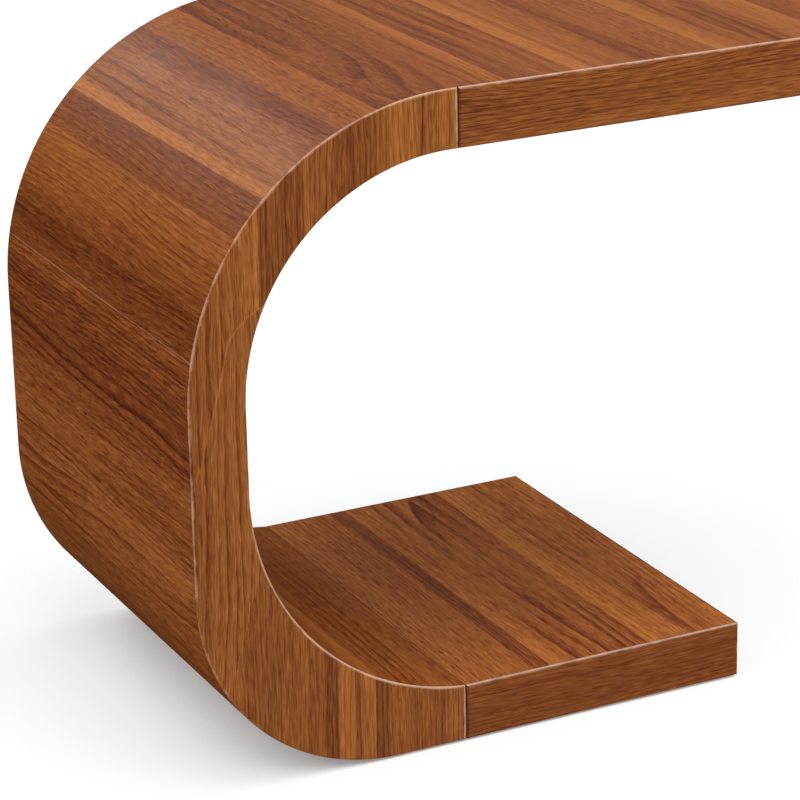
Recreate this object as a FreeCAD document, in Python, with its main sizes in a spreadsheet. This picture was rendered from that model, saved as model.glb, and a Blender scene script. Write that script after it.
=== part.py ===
import FreeCAD, Part
import math
import os
import re
import Sketcher

# C-shaped end table in walnut veneer: a hollow C-shaped back of bent skins on shaped ribs,
# a hollow top panel and a solid-cored base panel, drawn up to the back with cams and dowels.
# Lengths are in millimetres. X runs from the outer face of the back towards the free ends,
# Y from the front face to the rear face, Z up from the floor.

SIZES = {
    # overall form
    "height": 571.0,
    "depth": 410.0,
    "top_length": 660.0,
    "base_length": 512.0,
    "panel_thickness": 50.0,
    "upper_radius": 235.0,
    "lower_radius": 178.0,
    "cove_radius": 212.0,
    "joint_lap": 7.0,
    # veneered sheets and facings
    "skin": 6.0,
    "band": 2.0,
    "edge_ease": 1.2,
    "joint_reveal": 0.6,
    "seam_rise": 44.0,
    # frame inside the back
    "rib_thickness": 18.0,
    "rib_count": 4,
    "rib_end": 2.0,
    "batten_width": 22.0,
    "strip_height": 30.0,
    "strip_depth": 14.0,
    # frame inside the top
    "joint_rail_width": 60.0,
    "rail_width": 40.0,
    "slat_width": 20.0,
    "slat_count": 2,
    # dowels
    "dowel_diameter": 8.0,
    "dowel_length": 30.0,
    "dowel_in_batten": 12.0,
    "dowel_level": 25.0,
    "dowel_pitch": 300.0,
    "dowel_chamfer": 0.8,
    # cams and their bolts
    "cam_diameter": 15.0,
    "cam_length": 19.0,
    "cam_recess": 0.4,
    "cam_pitch": 220.0,
    "cam_slot_width": 8.0,
    "cam_slot_height": 8.0,
    "cam_slot_beyond": 4.0,
    "cross_length": 8.0,
    "cross_width": 1.6,
    "cross_depth": 3.0,
    "bolt_level": 14.5,
    "bolt_reach": 34.0,
    "thread_diameter": 6.0,
    "thread_length": 11.0,
    "shank_diameter": 5.0,
    "bolt_head_diameter": 7.0,
    "bolt_head_length": 3.0,
    "bolt_bore": 8.0,
    "cap_diameter": 19.0,
    "cap_thickness": 1.6,
    "cap_ease": 0.6,
    # felt pads under the base
    "pad_thickness": 2.0,
    "pad_diameter": 22.0,
    "pad_inset": 28.0,
    "pad_margin": 3.0,
    # clearances
    "bore_clearance": 0.2,
    "end_clearance": 0.5,
}

# Levels, distances and spans that follow from the sizes.
DERIVED = {
    "joint": "max(upper_radius; lower_radius) + joint_lap",
    "top_batten_face": "min(upper_radius - rib_end; joint - batten_width)",
    "base_batten_face": "max(lower_radius + rib_end; joint - batten_width)",
    "inner_radius": "upper_radius - panel_thickness",
    "bend_level": "height - upper_radius",
    "top_under": "height - panel_thickness",
    "base_top": "pad_thickness + panel_thickness",
    "low_level": "pad_thickness + lower_radius",
    "cove_across": "panel_thickness + cove_radius",
    "cove_level": "base_top + sqrt(cove_radius ^ 2 - (cove_across - joint) ^ 2)",
    "wall_back": "panel_thickness - skin",
    "seam": "bend_level + seam_rise",
    "seam_outside": "upper_radius - sqrt(upper_radius ^ 2 - seam_rise ^ 2)",
    "seam_inside": "upper_radius - sqrt((upper_radius - skin) ^ 2 - seam_rise ^ 2)",
    "inner_seam": "bend_level - strip_height / 2",
    "strip_low": "seam_rise - strip_height / 2",
    "strip_high": "seam_rise + strip_height / 2",
    "strip_low_across": "upper_radius - sqrt((upper_radius - skin) ^ 2 - strip_low ^ 2)",
    "strip_high_across": "upper_radius - sqrt((upper_radius - skin) ^ 2 - strip_high ^ 2)",
    "front": "-depth / 2",
    "inner_front": "band - depth / 2",
    "inner_depth": "depth - 2 * band",
    "top_end": "top_length - band",
    "base_end": "base_length - band",
    "frame_start": "joint + joint_rail_width",
    "frame_end": "top_end - rail_width",
    "slat_gap": "(frame_end - frame_start - slat_count * slat_width) / (slat_count + 1)",
    "dowel_bore": "dowel_diameter + bore_clearance",
    "cam_bore": "cam_diameter + bore_clearance",
    "cam_bore_depth": "cam_recess + cam_length + end_clearance",
    "cam_across": "joint + bolt_reach",
}

doc = FreeCAD.newDocument("c_end_table")
sheet = doc.addObject("Spreadsheet::Sheet", "sizes")
for row, (alias, number) in enumerate(SIZES.items(), start=1):
    sheet.set(f"A{row}", alias)
    sheet.set(f"B{row}", str(number))
    sheet.setAlias(f"B{row}", alias)
doc.recompute()

UP = FreeCAD.Vector(0, 0, 1)
bodies = []


def formula(text):
    """Spell a formula out in cells of the sheet."""
    def spell(match):
        word = match.group(0)
        if word in DERIVED:
            return "(" + formula(DERIVED[word]) + ")"
        return "sizes." + word if word in SIZES else word
    return re.sub(r"[a-z_]+", spell, text)


def value(text):
    """Give the number that a formula has now."""
    result = sheet.evalExpression(formula(text))
    return float(getattr(result, "Value", result))


def new_body(label):
    """Start a piece, measured from the outer back face, the middle of the depth and the floor."""
    body = doc.addObject("PartDesign::Body", label)
    body.Label = label
    body.AllowCompound = True
    body.setExpression("Placement.Base.x", formula("-top_length / 2"))
    bodies.append(body)
    return body


def origin_feature(body, role):
    """Find one of a body's own origin planes or axes."""
    return next(feature for feature in body.Origin.OriginFeatures if feature.Role == role)


def new_sketch(body, role, level):
    """Attach a sketch to an origin plane, moved along the plane's normal."""
    sketch = body.newObject("Sketcher::SketchObject", "sketch")
    sketch.AttachmentSupport = [(origin_feature(body, role), "")]
    sketch.MapMode = "FlatFace"
    sketch.setExpression("AttachmentOffset.Base.z", formula(level))
    return sketch


def pin_point(sketch, edge, end, across, up):
    """Hold a point of a sketch at two formulas."""
    for kind, text, axis in (("DistanceX", across, -2), ("DistanceY", up, -1)):
        if text == "0":
            sketch.addConstraint(Sketcher.Constraint("PointOnObject", edge, end, axis))
            continue
        index = sketch.addConstraint(Sketcher.Constraint(kind, -1, 1, edge, end, value(text)))
        sketch.setExpression(f"Constraints[{index}]", formula(text))


def bend_arc(start, end, radius, turn):
    """Make the arc from start to end that turns left (1) or right (-1)."""
    chord = end.sub(start)
    side = FreeCAD.Vector(-chord.y, chord.x, 0).multiply(turn / chord.Length)
    rise = math.sqrt(max(radius ** 2 - chord.Length ** 2 / 4, 0.0))
    centre = start.add(end).multiply(0.5).add(side.multiply(rise))
    first, last = (start, end) if turn > 0 else (end, start)
    angles = [math.atan2(point.y - centre.y, point.x - centre.x) for point in (first, last)]
    return Part.ArcOfCircle(Part.Circle(centre, UP, radius), angles[0], angles[1])


def draw_outline(sketch, corners):
    """Draw a closed outline. A corner is across, up and, if a bend follows it, radius and turn."""
    points = [FreeCAD.Vector(value(corner[0]), value(corner[1]), 0) for corner in corners]
    ends = []
    for number, corner in enumerate(corners):
        start = points[number]
        end = points[(number + 1) % len(points)]
        if len(corner) == 2:
            sketch.addGeometry(Part.LineSegment(start, end))
            ends.append((1, 2))
            continue
        sketch.addGeometry(bend_arc(start, end, value(corner[2]), corner[3]))
        ends.append((1, 2) if corner[3] > 0 else (2, 1))
    for number, corner in enumerate(corners):
        before = number - 1 if number else len(corners) - 1
        sketch.addConstraint(
            Sketcher.Constraint("Coincident", before, ends[before][1], number, ends[number][0]))
        pin_point(sketch, number, ends[number][0], corner[0], corner[1])
        if len(corner) > 2:
            index = sketch.addConstraint(Sketcher.Constraint("Radius", number, value(corner[2])))
            sketch.setExpression(f"Constraints[{index}]", formula(corner[2]))


def draw_circles(sketch, centres, diameter):
    """Draw equal circles round the given centres."""
    for across, up in centres:
        middle = FreeCAD.Vector(value(across), value(up), 0)
        edge = sketch.addGeometry(Part.Circle(middle, UP, value(diameter) / 2))
        pin_point(sketch, edge, 3, across, up)
        index = sketch.addConstraint(Sketcher.Constraint("Diameter", edge, value(diameter)))
        sketch.setExpression(f"Constraints[{index}]", formula(diameter))


def box_corners(left, low, right, high):
    """List the corners of a rectangle."""
    return [(left, low), (right, low), (right, high), (left, high)]


def add_pad(body, sketch, length, backwards=False):
    """Raise a sketch into a solid."""
    pad = body.newObject("PartDesign::Pad", "pad")
    pad.Profile = sketch
    pad.setExpression("Length", formula(length))
    pad.Reversed = backwards
    return pad


def add_pocket(body, sketch, length, forwards=False):
    """Cut a sketch into the body and make sure that it cuts."""
    doc.recompute()
    before = body.Shape.Volume
    pocket = body.newObject("PartDesign::Pocket", "pocket")
    pocket.Profile = sketch
    pocket.setExpression("Length", formula(length))
    pocket.Reversed = forwards
    doc.recompute()
    if body.Shape.Volume > before - 1e-3:
        raise RuntimeError(f"{body.Label}: a pocket cuts nothing")
    return pocket


def extrude(label, corners, start, depth, backwards=True):
    """Make a piece of one outline, seen from the front, that runs back or forwards from start."""
    body = new_body(label)
    sketch = new_sketch(body, "XZ_Plane", f"-({start})")
    draw_outline(sketch, corners)
    add_pad(body, sketch, depth, backwards)
    return body


def bore_along(body, role, level, centres, diameter, depth):
    """Drill equal holes forwards from a level along the normal of an origin plane."""
    sketch = new_sketch(body, role, level)
    draw_circles(sketch, centres, diameter)
    return add_pocket(body, sketch, depth, forwards=True)


def repeat(body, features, role, span, count):
    """Repeat features evenly over a span along an origin axis."""
    row = body.newObject("PartDesign::LinearPattern", "row")
    row.Originals = features
    row.Direction = (origin_feature(body, role), [""])
    row.setExpression("Length", formula(span))
    row.setExpression("Occurrences", formula(count))
    body.Tip = row
    return row


def ease_edges(body, wanted, size):
    """Take the sharpness off the edges that a test picks."""
    doc.recompute()
    base = body.Tip
    names = [f"Edge{number}" for number, edge in enumerate(base.Shape.Edges, 1) if wanted(edge)]
    chamfer = body.newObject("PartDesign::Chamfer", "chamfer")
    chamfer.Base = (base, names)
    chamfer.setExpression("Size", formula(size))


def lies_at(axis, place):
    """Make a test for edges whose points all have one coordinate."""
    return lambda edge: all(abs(point[axis] - place) < 1e-4
                            for point in edge.discretize(3))


def row_of(pitch, count, level):
    """List places across the depth, evenly about its middle, at one level."""
    return [(f"{pitch} * {number - (count - 1) / 2}", level) for number in range(count)]


def bend_at(across, radius):
    """Give the level of a bend of a radius about the centre of the upper bend."""
    return f"(bend_level + sqrt(({radius}) ^ 2 - (upper_radius - ({across})) ^ 2))"


def cove_at(across, inset):
    """Give the level of the cove, or of its underside at an inset, at a distance across."""
    return f"(cove_level - sqrt((cove_radius + {inset}) ^ 2 - (cove_across - ({across})) ^ 2))"


# Facings of the C-shaped front and rear, cut in one piece from end joint to end joint.
end = "joint - joint_reveal"
C_OUTLINE = [
    (end, "height"),
    ("upper_radius", "height", "upper_radius", 1),
    ("0", "bend_level"),
    ("0", "low_level", "lower_radius", 1),
    ("lower_radius", "pad_thickness"),
    (end, "pad_thickness"),
    (end, cove_at(end, "0"), "cove_radius", -1),
    ("panel_thickness", "cove_level"),
    ("panel_thickness", "bend_level", "inner_radius", -1),
    ("upper_radius", "top_under"),
    (end, "top_under"),
]
start = "joint + joint_reveal"
TOP_FACING = box_corners(start, "top_under", "top_length", "height")
BASE_FACING = box_corners(start, "pad_thickness", "base_length", "base_top")
for part_name, corners, joint_end in (
        ("back", C_OUTLINE, end), ("top", TOP_FACING, start), ("base", BASE_FACING, start)):
    at_joint = lies_at(0, value(joint_end))
    for side, face, backwards in (("front", "front", True), ("rear", "depth / 2", False)):
        facing = extrude(f"{part_name}_{side}_facing", corners, face, "band", backwards)
        at_face = lies_at(1, value(face))
        ease_edges(facing, lambda edge: at_face(edge) and not at_joint(edge), "edge_ease")
        ease_edges(facing, lambda edge: at_face(edge) and at_joint(edge), "edge_ease")

# Facings of the two free ends, between the front and rear facings.
for part_name, low, high in (("top", "top_under", "height"), ("base", "pad_thickness", "base_top")):
    corners = box_corners(f"{part_name}_end", low, f"{part_name}_length", high)
    facing = extrude(f"{part_name}_end_facing", corners, "inner_front", "inner_depth")
    face_edge = lies_at(0, value(f"{part_name}_length"))
    side_planes = [lies_at(1, value(side)) for side in ("inner_front", "-(inner_front)")]
    ease_edges(facing, lambda edge: face_edge(edge) and not any(side(edge) for side in side_planes),
               "edge_ease")

# Bent sheets over the outside of the back, which meet at the seam on the upper bend.
extrude("back_outer_skin_upper", [
    ("joint", "height"),
    ("upper_radius", "height", "upper_radius", 1),
    ("seam_outside", "seam"),
    ("seam_inside", "seam", "upper_radius - skin", -1),
    ("upper_radius", "height - skin"),
    ("joint", "height - skin"),
], "inner_front", "inner_depth")
extrude("back_outer_skin_lower", [
    ("seam_outside", "seam", "upper_radius", 1),
    ("0", "bend_level"),
    ("0", "low_level", "lower_radius", 1),
    ("lower_radius", "pad_thickness"),
    ("joint", "pad_thickness"),
    ("joint", "pad_thickness + skin"),
    ("lower_radius", "pad_thickness + skin", "lower_radius - skin", -1),
    ("skin", "low_level"),
    ("skin", "bend_level", "upper_radius - skin", -1),
    ("seam_inside", "seam"),
], "inner_front", "inner_depth")

# Bent sheets over the inside of the back. The lower one sweeps out into the cove of the base.
extrude("back_inner_skin_upper", [
    ("joint", "top_under"),
    ("joint", "top_under + skin"),
    ("upper_radius", "top_under + skin", "inner_radius + skin", 1),
    ("wall_back", "bend_level"),
    ("wall_back", "inner_seam"),
    ("panel_thickness", "inner_seam"),
    ("panel_thickness", "bend_level", "inner_radius", -1),
    ("upper_radius", "top_under"),
], "inner_front", "inner_depth")
extrude("back_inner_skin_lower", [
    ("panel_thickness", "inner_seam"),
    ("wall_back", "inner_seam"),
    ("wall_back", "cove_level", "cove_radius + skin", 1),
    ("joint", cove_at("joint", "skin")),
    ("joint", "base_top", "cove_radius", -1),
    ("panel_thickness", "cove_level"),
], "inner_front", "inner_depth")

# Shaped ribs between the skins, notched for the strips that back the two seams.
OUTER_BEND = "upper_radius - skin"
INNER_BEND = "inner_radius + skin"
ribs = new_body("back_ribs")
rib_sketch = new_sketch(ribs, "XZ_Plane", "-(inner_front)")
draw_outline(rib_sketch, [
    ("top_batten_face", bend_at("top_batten_face", OUTER_BEND), OUTER_BEND, 1),
    ("skin", "bend_level"),
    ("skin", "low_level", "lower_radius - skin", 1),
    ("lower_radius", "pad_thickness + skin"),
    ("base_batten_face", "pad_thickness + skin"),
    ("base_batten_face", cove_at("base_batten_face", "skin"), "cove_radius + skin", -1),
    ("wall_back", "cove_level"),
    ("wall_back", "bend_level", INNER_BEND, -1),
    ("top_batten_face", bend_at("top_batten_face", INNER_BEND)),
])
rib_pad = add_pad(ribs, rib_sketch, "rib_thickness", backwards=True)
OUTER_NOTCH = box_corners("0", "seam - strip_height / 2", "skin + strip_depth", "seam + strip_height / 2")
INNER_NOTCH = box_corners("wall_back - strip_depth", "bend_level - strip_height",
                          "panel_thickness", "bend_level")
rib_features = [rib_pad]
for notch in (OUTER_NOTCH, INNER_NOTCH):
    notch_sketch = new_sketch(ribs, "XZ_Plane", "-(inner_front)")
    draw_outline(notch_sketch, notch)
    rib_features.append(add_pocket(ribs, notch_sketch, "rib_thickness", forwards=False))
repeat(ribs, rib_features, "Y_Axis", "inner_depth - rib_thickness", "rib_count")

# Strips let into the ribs behind the seams of the skins.
extrude("outer_seam_strip", [
    ("skin + strip_depth", "bend_level + strip_low"),
    ("skin + strip_depth", "bend_level + strip_high"),
    ("strip_high_across", "bend_level + strip_high", "upper_radius - skin", 1),
    ("strip_low_across", "bend_level + strip_low"),
], "inner_front", "inner_depth")
extrude("inner_seam_strip", box_corners("wall_back - strip_depth", "bend_level - strip_height",
                                        "wall_back", "bend_level"), "inner_front", "inner_depth")

# Solid battens that close the ends of the back and carry the joints.
top_batten = extrude("top_joint_batten", [
    ("joint", "height - skin"),
    ("upper_radius", "height - skin", OUTER_BEND, 1),
    ("top_batten_face", bend_at("top_batten_face", OUTER_BEND)),
    ("top_batten_face", bend_at("top_batten_face", INNER_BEND), INNER_BEND, -1),
    ("upper_radius", "top_under + skin"),
    ("joint", "top_under + skin"),
], "inner_front", "inner_depth")
base_batten = extrude("base_joint_batten", [
    ("base_batten_face", "pad_thickness + skin"),
    ("joint", "pad_thickness + skin"),
    ("joint", cove_at("joint", "skin"), "cove_radius + skin", -1),
    ("base_batten_face", cove_at("base_batten_face", "skin")),
], "inner_front", "inner_depth")

# Top panel: two skins on a frame of rails and slats.
extrude("top_upper_skin", box_corners("joint", "height - skin", "top_end", "height"),
        "inner_front", "inner_depth")
top_lower_skin = extrude("top_lower_skin", box_corners(
    "joint", "top_under", "top_end", "top_under + skin"), "inner_front", "inner_depth")
top_joint_rail = extrude("top_joint_rail", box_corners(
    "joint", "top_under + skin", "frame_start", "height - skin"), "inner_front", "inner_depth")
extrude("top_end_rail", box_corners("frame_end", "top_under + skin", "top_end", "height - skin"),
        "inner_front", "inner_depth")
side_rails = extrude("top_side_rails", box_corners(
    "frame_start", "top_under + skin", "frame_end", "height - skin"), "inner_front", "rail_width")
repeat(side_rails, [side_rails.Tip], "Y_Axis", "inner_depth - rail_width", "2")
slats = extrude("top_cross_slats", box_corners(
    "frame_start + slat_gap", "top_under + skin",
    "frame_start + slat_gap + slat_width", "height - skin"),
    "inner_front + rail_width", "inner_depth - 2 * rail_width")
repeat(slats, [slats.Tip], "X_Axis", "(slat_gap + slat_width) * (slat_count - 1)", "slat_count")

# Base panel: two skins on a solid core, whose weight keeps the table from tipping back.
extrude("base_upper_skin", box_corners("joint", "base_top - skin", "base_end", "base_top"),
        "inner_front", "inner_depth")
base_lower_skin = extrude("base_lower_skin", box_corners(
    "joint", "pad_thickness", "base_end", "pad_thickness + skin"), "inner_front", "inner_depth")
base_core = extrude("base_core", box_corners(
    "joint", "pad_thickness + skin", "base_end", "base_top - skin"), "inner_front", "inner_depth")

# Joint hardware: dowels line each panel up, and cams on its underside pull it to the back.
for part_name, under, batten, rail, lower_skin in (
        ("top", "top_under", top_batten, top_joint_rail, top_lower_skin),
        ("base", "pad_thickness", base_batten, base_core, base_lower_skin)):
    dowel_places = row_of("dowel_pitch", 2, f"{under} + dowel_level")
    bolt_places = row_of("cam_pitch", 2, f"{under} + bolt_level")
    cam_places = [("cam_across", across) for across, level in bolt_places]

    bore_along(batten, "YZ_Plane", "joint - dowel_in_batten - end_clearance", dowel_places,
               "dowel_bore", "dowel_in_batten + end_clearance")
    bore_along(batten, "YZ_Plane", "joint - thread_length - end_clearance", bolt_places,
               "thread_diameter + bore_clearance", "thread_length + end_clearance")
    bore_along(rail, "YZ_Plane", "joint", dowel_places, "dowel_bore",
               "dowel_length - dowel_in_batten + end_clearance")
    bore_along(rail, "YZ_Plane", "joint", bolt_places, "bolt_bore", "bolt_reach")
    bore_along(rail, "XY_Plane", under, cam_places, "cam_bore", "cam_bore_depth")
    bore_along(lower_skin, "XY_Plane", under, cam_places, "cam_bore", "skin")

    dowels = new_body(f"{part_name}_joint_dowels")
    dowel_sketch = new_sketch(dowels, "YZ_Plane", "joint - dowel_in_batten")
    draw_circles(dowel_sketch, dowel_places, "dowel_diameter")
    add_pad(dowels, dowel_sketch, "dowel_length")
    dowel_ends = [lies_at(0, value(text)) for text in (
        "joint - dowel_in_batten", "joint - dowel_in_batten + dowel_length")]
    ease_edges(dowels, lambda edge: any(at_end(edge) for at_end in dowel_ends), "dowel_chamfer")

    bolts = new_body(f"{part_name}_cam_bolts")
    bolt_sketch = new_sketch(bolts, "XZ_Plane", "cam_pitch / 2")
    draw_outline(bolt_sketch, [
        ("joint - thread_length", f"{under} + bolt_level"),
        ("joint + bolt_reach + bolt_head_length", f"{under} + bolt_level"),
        ("joint + bolt_reach + bolt_head_length", f"{under} + bolt_level + bolt_head_diameter / 2"),
        ("joint + bolt_reach", f"{under} + bolt_level + bolt_head_diameter / 2"),
        ("joint + bolt_reach", f"{under} + bolt_level + shank_diameter / 2"),
        ("joint", f"{under} + bolt_level + shank_diameter / 2"),
        ("joint", f"{under} + bolt_level + thread_diameter / 2"),
        ("joint - thread_length", f"{under} + bolt_level + thread_diameter / 2"),
    ])
    turned = bolts.newObject("PartDesign::Revolution", "turned")
    turned.Profile = bolt_sketch
    turned.ReferenceAxis = (bolt_sketch, ["Edge1"])
    turned.Angle = 360
    repeat(bolts, [turned], "Y_Axis", "cam_pitch", "2")

    cams = new_body(f"{part_name}_joint_cams")
    cam_sketch = new_sketch(cams, "XY_Plane", f"{under} + cam_recess")
    draw_circles(cam_sketch, cam_places[:1], "cam_diameter")
    cam_features = [add_pad(cams, cam_sketch, "cam_length")]
    slot_sketch = new_sketch(cams, "XZ_Plane", "cam_pitch / 2 - cam_slot_width / 2")
    draw_outline(slot_sketch, box_corners(
        "cam_across - cam_diameter", f"{under} + bolt_level - cam_slot_height / 2",
        "cam_across + cam_slot_beyond", f"{under} + bolt_level + cam_slot_height / 2"))
    cam_features.append(add_pocket(cams, slot_sketch, "cam_slot_width", forwards=True))
    for along, wide in (("cross_length", "cross_width"), ("cross_width", "cross_length")):
        cross_sketch = new_sketch(cams, "XY_Plane", f"{under} + cam_recess")
        draw_outline(cross_sketch, box_corners(
            f"cam_across - {along} / 2", f"-(cam_pitch + {wide}) / 2",
            f"cam_across + {along} / 2", f"({wide} - cam_pitch) / 2"))
        cam_features.append(add_pocket(cams, cross_sketch, "cross_depth", forwards=True))
    repeat(cams, cam_features, "Y_Axis", "cam_pitch", "2")

# Caps over the cams under the top, where a hand or an eye can reach them.
caps = new_body("top_cam_caps")
cap_sketch = new_sketch(caps, "XY_Plane", "top_under - cap_thickness")
draw_circles(cap_sketch, [("cam_across", across) for across, level in row_of("cam_pitch", 2, "0")],
             "cap_diameter")
add_pad(caps, cap_sketch, "cap_thickness")
ease_edges(caps, lies_at(2, value("top_under - cap_thickness")), "cap_ease")

# Felt pads: two under the flat of the back, two under the free end of the base.
pads = new_body("floor_pads")
pad_sketch = new_sketch(pads, "XY_Plane", "0")
pad_places = [(across, f"{side} * (depth / 2 - pad_inset)") for side in (-1, 1) for across in (
    "lower_radius + pad_margin + pad_diameter / 2", "base_length - pad_inset")]
draw_circles(pad_sketch, pad_places, "pad_diameter")
add_pad(pads, pad_sketch, "pad_thickness")

doc.recompute()
for item in doc.Objects:
    if "Invalid" in item.State or "Error" in item.State:
        raise RuntimeError(f"{item.Label} did not build: {item.State}")
for body in bodies:
    if body.Shape.isNull() or not body.Shape.isValid():
        raise RuntimeError(f"{body.Label} has no valid shape")
os.makedirs("parts", exist_ok=True)
for body in bodies:
    body.Shape.exportStep(os.path.join("parts", body.Label + ".step"))
    print(f"{body.Label}: {len(body.Shape.Solids)} solids, {body.Shape.Volume / 1000:.1f} cm3")
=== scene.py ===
"""Looks of a C-shaped end table: veneered sheets and facings, the frame inside, light and camera."""

import logging
import math
from collections.abc import Sequence
from dataclasses import dataclass, field
from enum import Enum, auto
from typing import ClassVar

import bpy
from mathutils import Matrix, Vector


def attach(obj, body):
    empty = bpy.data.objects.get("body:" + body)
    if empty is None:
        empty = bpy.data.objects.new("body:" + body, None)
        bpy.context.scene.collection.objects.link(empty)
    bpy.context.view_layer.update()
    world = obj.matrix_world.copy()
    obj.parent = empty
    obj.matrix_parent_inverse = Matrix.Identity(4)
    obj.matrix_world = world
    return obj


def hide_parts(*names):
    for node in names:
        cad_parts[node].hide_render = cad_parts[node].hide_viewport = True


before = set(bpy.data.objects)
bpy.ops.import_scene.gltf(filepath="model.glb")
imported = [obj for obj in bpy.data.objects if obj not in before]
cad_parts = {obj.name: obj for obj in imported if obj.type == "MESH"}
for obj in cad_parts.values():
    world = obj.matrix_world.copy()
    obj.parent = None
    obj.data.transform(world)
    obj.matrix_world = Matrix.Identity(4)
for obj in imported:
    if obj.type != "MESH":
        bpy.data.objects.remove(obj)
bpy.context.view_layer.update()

log = logging.getLogger("end_table")

Point = tuple[float, float]
Chain = list[Point]
Triple = tuple[float, float, float]
Colour = tuple[float, float, float, float]
Stop = tuple[float, Colour]
PaintedLightAndWear = tuple[float, float, float, float]
Socket = bpy.types.NodeSocket
Wire = Socket | float | tuple[float, ...] | None

SHARP_ANGLE = math.radians(38)
GOLDEN_SHARE = 0.6180339887
MILLIMETRES = 1000
NOISE_MEAN = 0.5
# How dark the joint lines are: painted shade in the joints.
JOINT_SHADE = -0.9
WHITE: Colour = (1.0, 1.0, 1.0, 1.0)


class Side(Enum):
    """The side of the table that a facing lies on."""

    FRONT = -1
    REAR = 1


class Fitting(Enum):
    """What the small unveneered pieces are made of, and the name of its finish."""

    PLY = "ply"
    SOFTWOOD = "softwood"
    CHIPBOARD = "chipboard"
    BEECH = "beech"
    STEEL = "steel"
    ZINC = "zinc"
    PLASTIC = "plastic"
    FELT = "felt"


InnerNodes = tuple[tuple[str, Fitting], ...]


@dataclass(frozen=True)
class TableSizes:
    """Lengths of the table in metres, measured from the outer back face and the floor.

    Attributes:
        height: From the floor to the table top.
        depth: From the front face to the rear face.
        top_length: Length of the top, with the back.
        base_length: Length of the base, with the back.
        panel: Thickness of the panels and of the back.
        upper_radius: Outer radius of the bend into the top.
        lower_radius: Outer radius of the bend into the base.
        cove_radius: Radius of the inner sweep into the base.
        joint: Where the panels meet the back.
        skin: Thickness of the sheets.
        band: Thickness of the facings.
        ease: Radius of the facings' eased edges.
        reveal: Half of the open line between two facings.
        pad: Thickness of the floor pads.
        seam_rise: How far the outer seam lies above the centre of the upper bend.
        strip_height: Height of the strip behind the inner seam, which lies half of that below the
            upper bend.
    """

    height: float = 0.571
    depth: float = 0.410
    top_length: float = 0.660
    base_length: float = 0.512
    panel: float = 0.050
    upper_radius: float = 0.235
    lower_radius: float = 0.178
    cove_radius: float = 0.212
    joint: float = 0.242
    skin: float = 0.006
    band: float = 0.002
    ease: float = 0.0012
    reveal: float = 0.0006
    pad: float = 0.002
    seam_rise: float = 0.044
    strip_height: float = 0.030

    @property
    def bend_level(self) -> float:
        """Level of the upper bend's centre."""
        return self.height - self.upper_radius

    @property
    def low_level(self) -> float:
        """Level of the lower bend's centre."""
        return self.pad + self.lower_radius

    @property
    def top_under(self) -> float:
        """Level of the top panel's underside."""
        return self.height - self.panel

    @property
    def base_top(self) -> float:
        """Level of the base panel's upper face."""
        return self.pad + self.panel

    @property
    def cove_across(self) -> float:
        """Distance of the cove's centre from the outer back face."""
        return self.panel + self.cove_radius

    @property
    def cove_level(self) -> float:
        """Level of the cove's centre, so that the cove meets the base at the joint."""
        return self.base_top + math.sqrt(self.cove_radius ** 2 - (self.cove_across - self.joint) ** 2)

    @property
    def half_inside(self) -> float:
        """Half of the depth between the front and rear facings."""
        return self.depth / 2 - self.band


SIZES = TableSizes()


def arc(centre: Point, radius: float, start: float, end: float, steps: int) -> Chain:
    """List points round an arc, both ends included.

    Args:
        centre: Centre of the arc.
        radius: Radius in metres.
        start: First angle in degrees.
        end: Last angle in degrees.
        steps: Number of chords.

    Returns:
        The points in order.
    """
    angles = [math.radians(start + (end - start) * step / steps) for step in range(steps + 1)]
    return [(centre[0] + radius * math.cos(angle), centre[1] + radius * math.sin(angle))
            for angle in angles]


def cove_end(across: float, radius: float) -> float:
    """Find where an arc about the cove's centre reaches a distance from the outer back face.

    Args:
        across: The distance in metres.
        radius: Radius of the arc.

    Returns:
        The angle on the lower half of the arc, in degrees.
    """
    return 360 - math.degrees(math.acos((across - SIZES.cove_across) / radius))


def run_lengths(chain: Chain) -> list[float]:
    """Measure the distance along a chain at each of its points.

    Args:
        chain: The points in order.

    Returns:
        The distances, from 0 at the first point.
    """
    lengths = [0.0]
    for before, after in zip(chain, chain[1:]):
        lengths.append(lengths[-1] + math.dist(before, after))
    return lengths


def between(points: Sequence[Point], place: float) -> float:
    """Read a value between the points of a table.

    Args:
        points: Places in rising order with their values.
        place: Where to read.

    Returns:
        The value on the straight line between the neighbours.
    """
    for (low, first), (high, second) in zip(points, points[1:]):
        if place <= high:
            return first + (second - first) * (place - low) / (high - low)
    return points[-1][1]


def new_object(name: str, data: bpy.types.ID) -> bpy.types.Object:
    """Make an object and put it into the scene.

    Args:
        name: Name of the object.
        data: Its mesh, lamp or camera.

    Returns:
        The object.
    """
    made = bpy.data.objects.new(name, data)
    bpy.context.scene.collection.objects.link(made)
    return made


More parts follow.
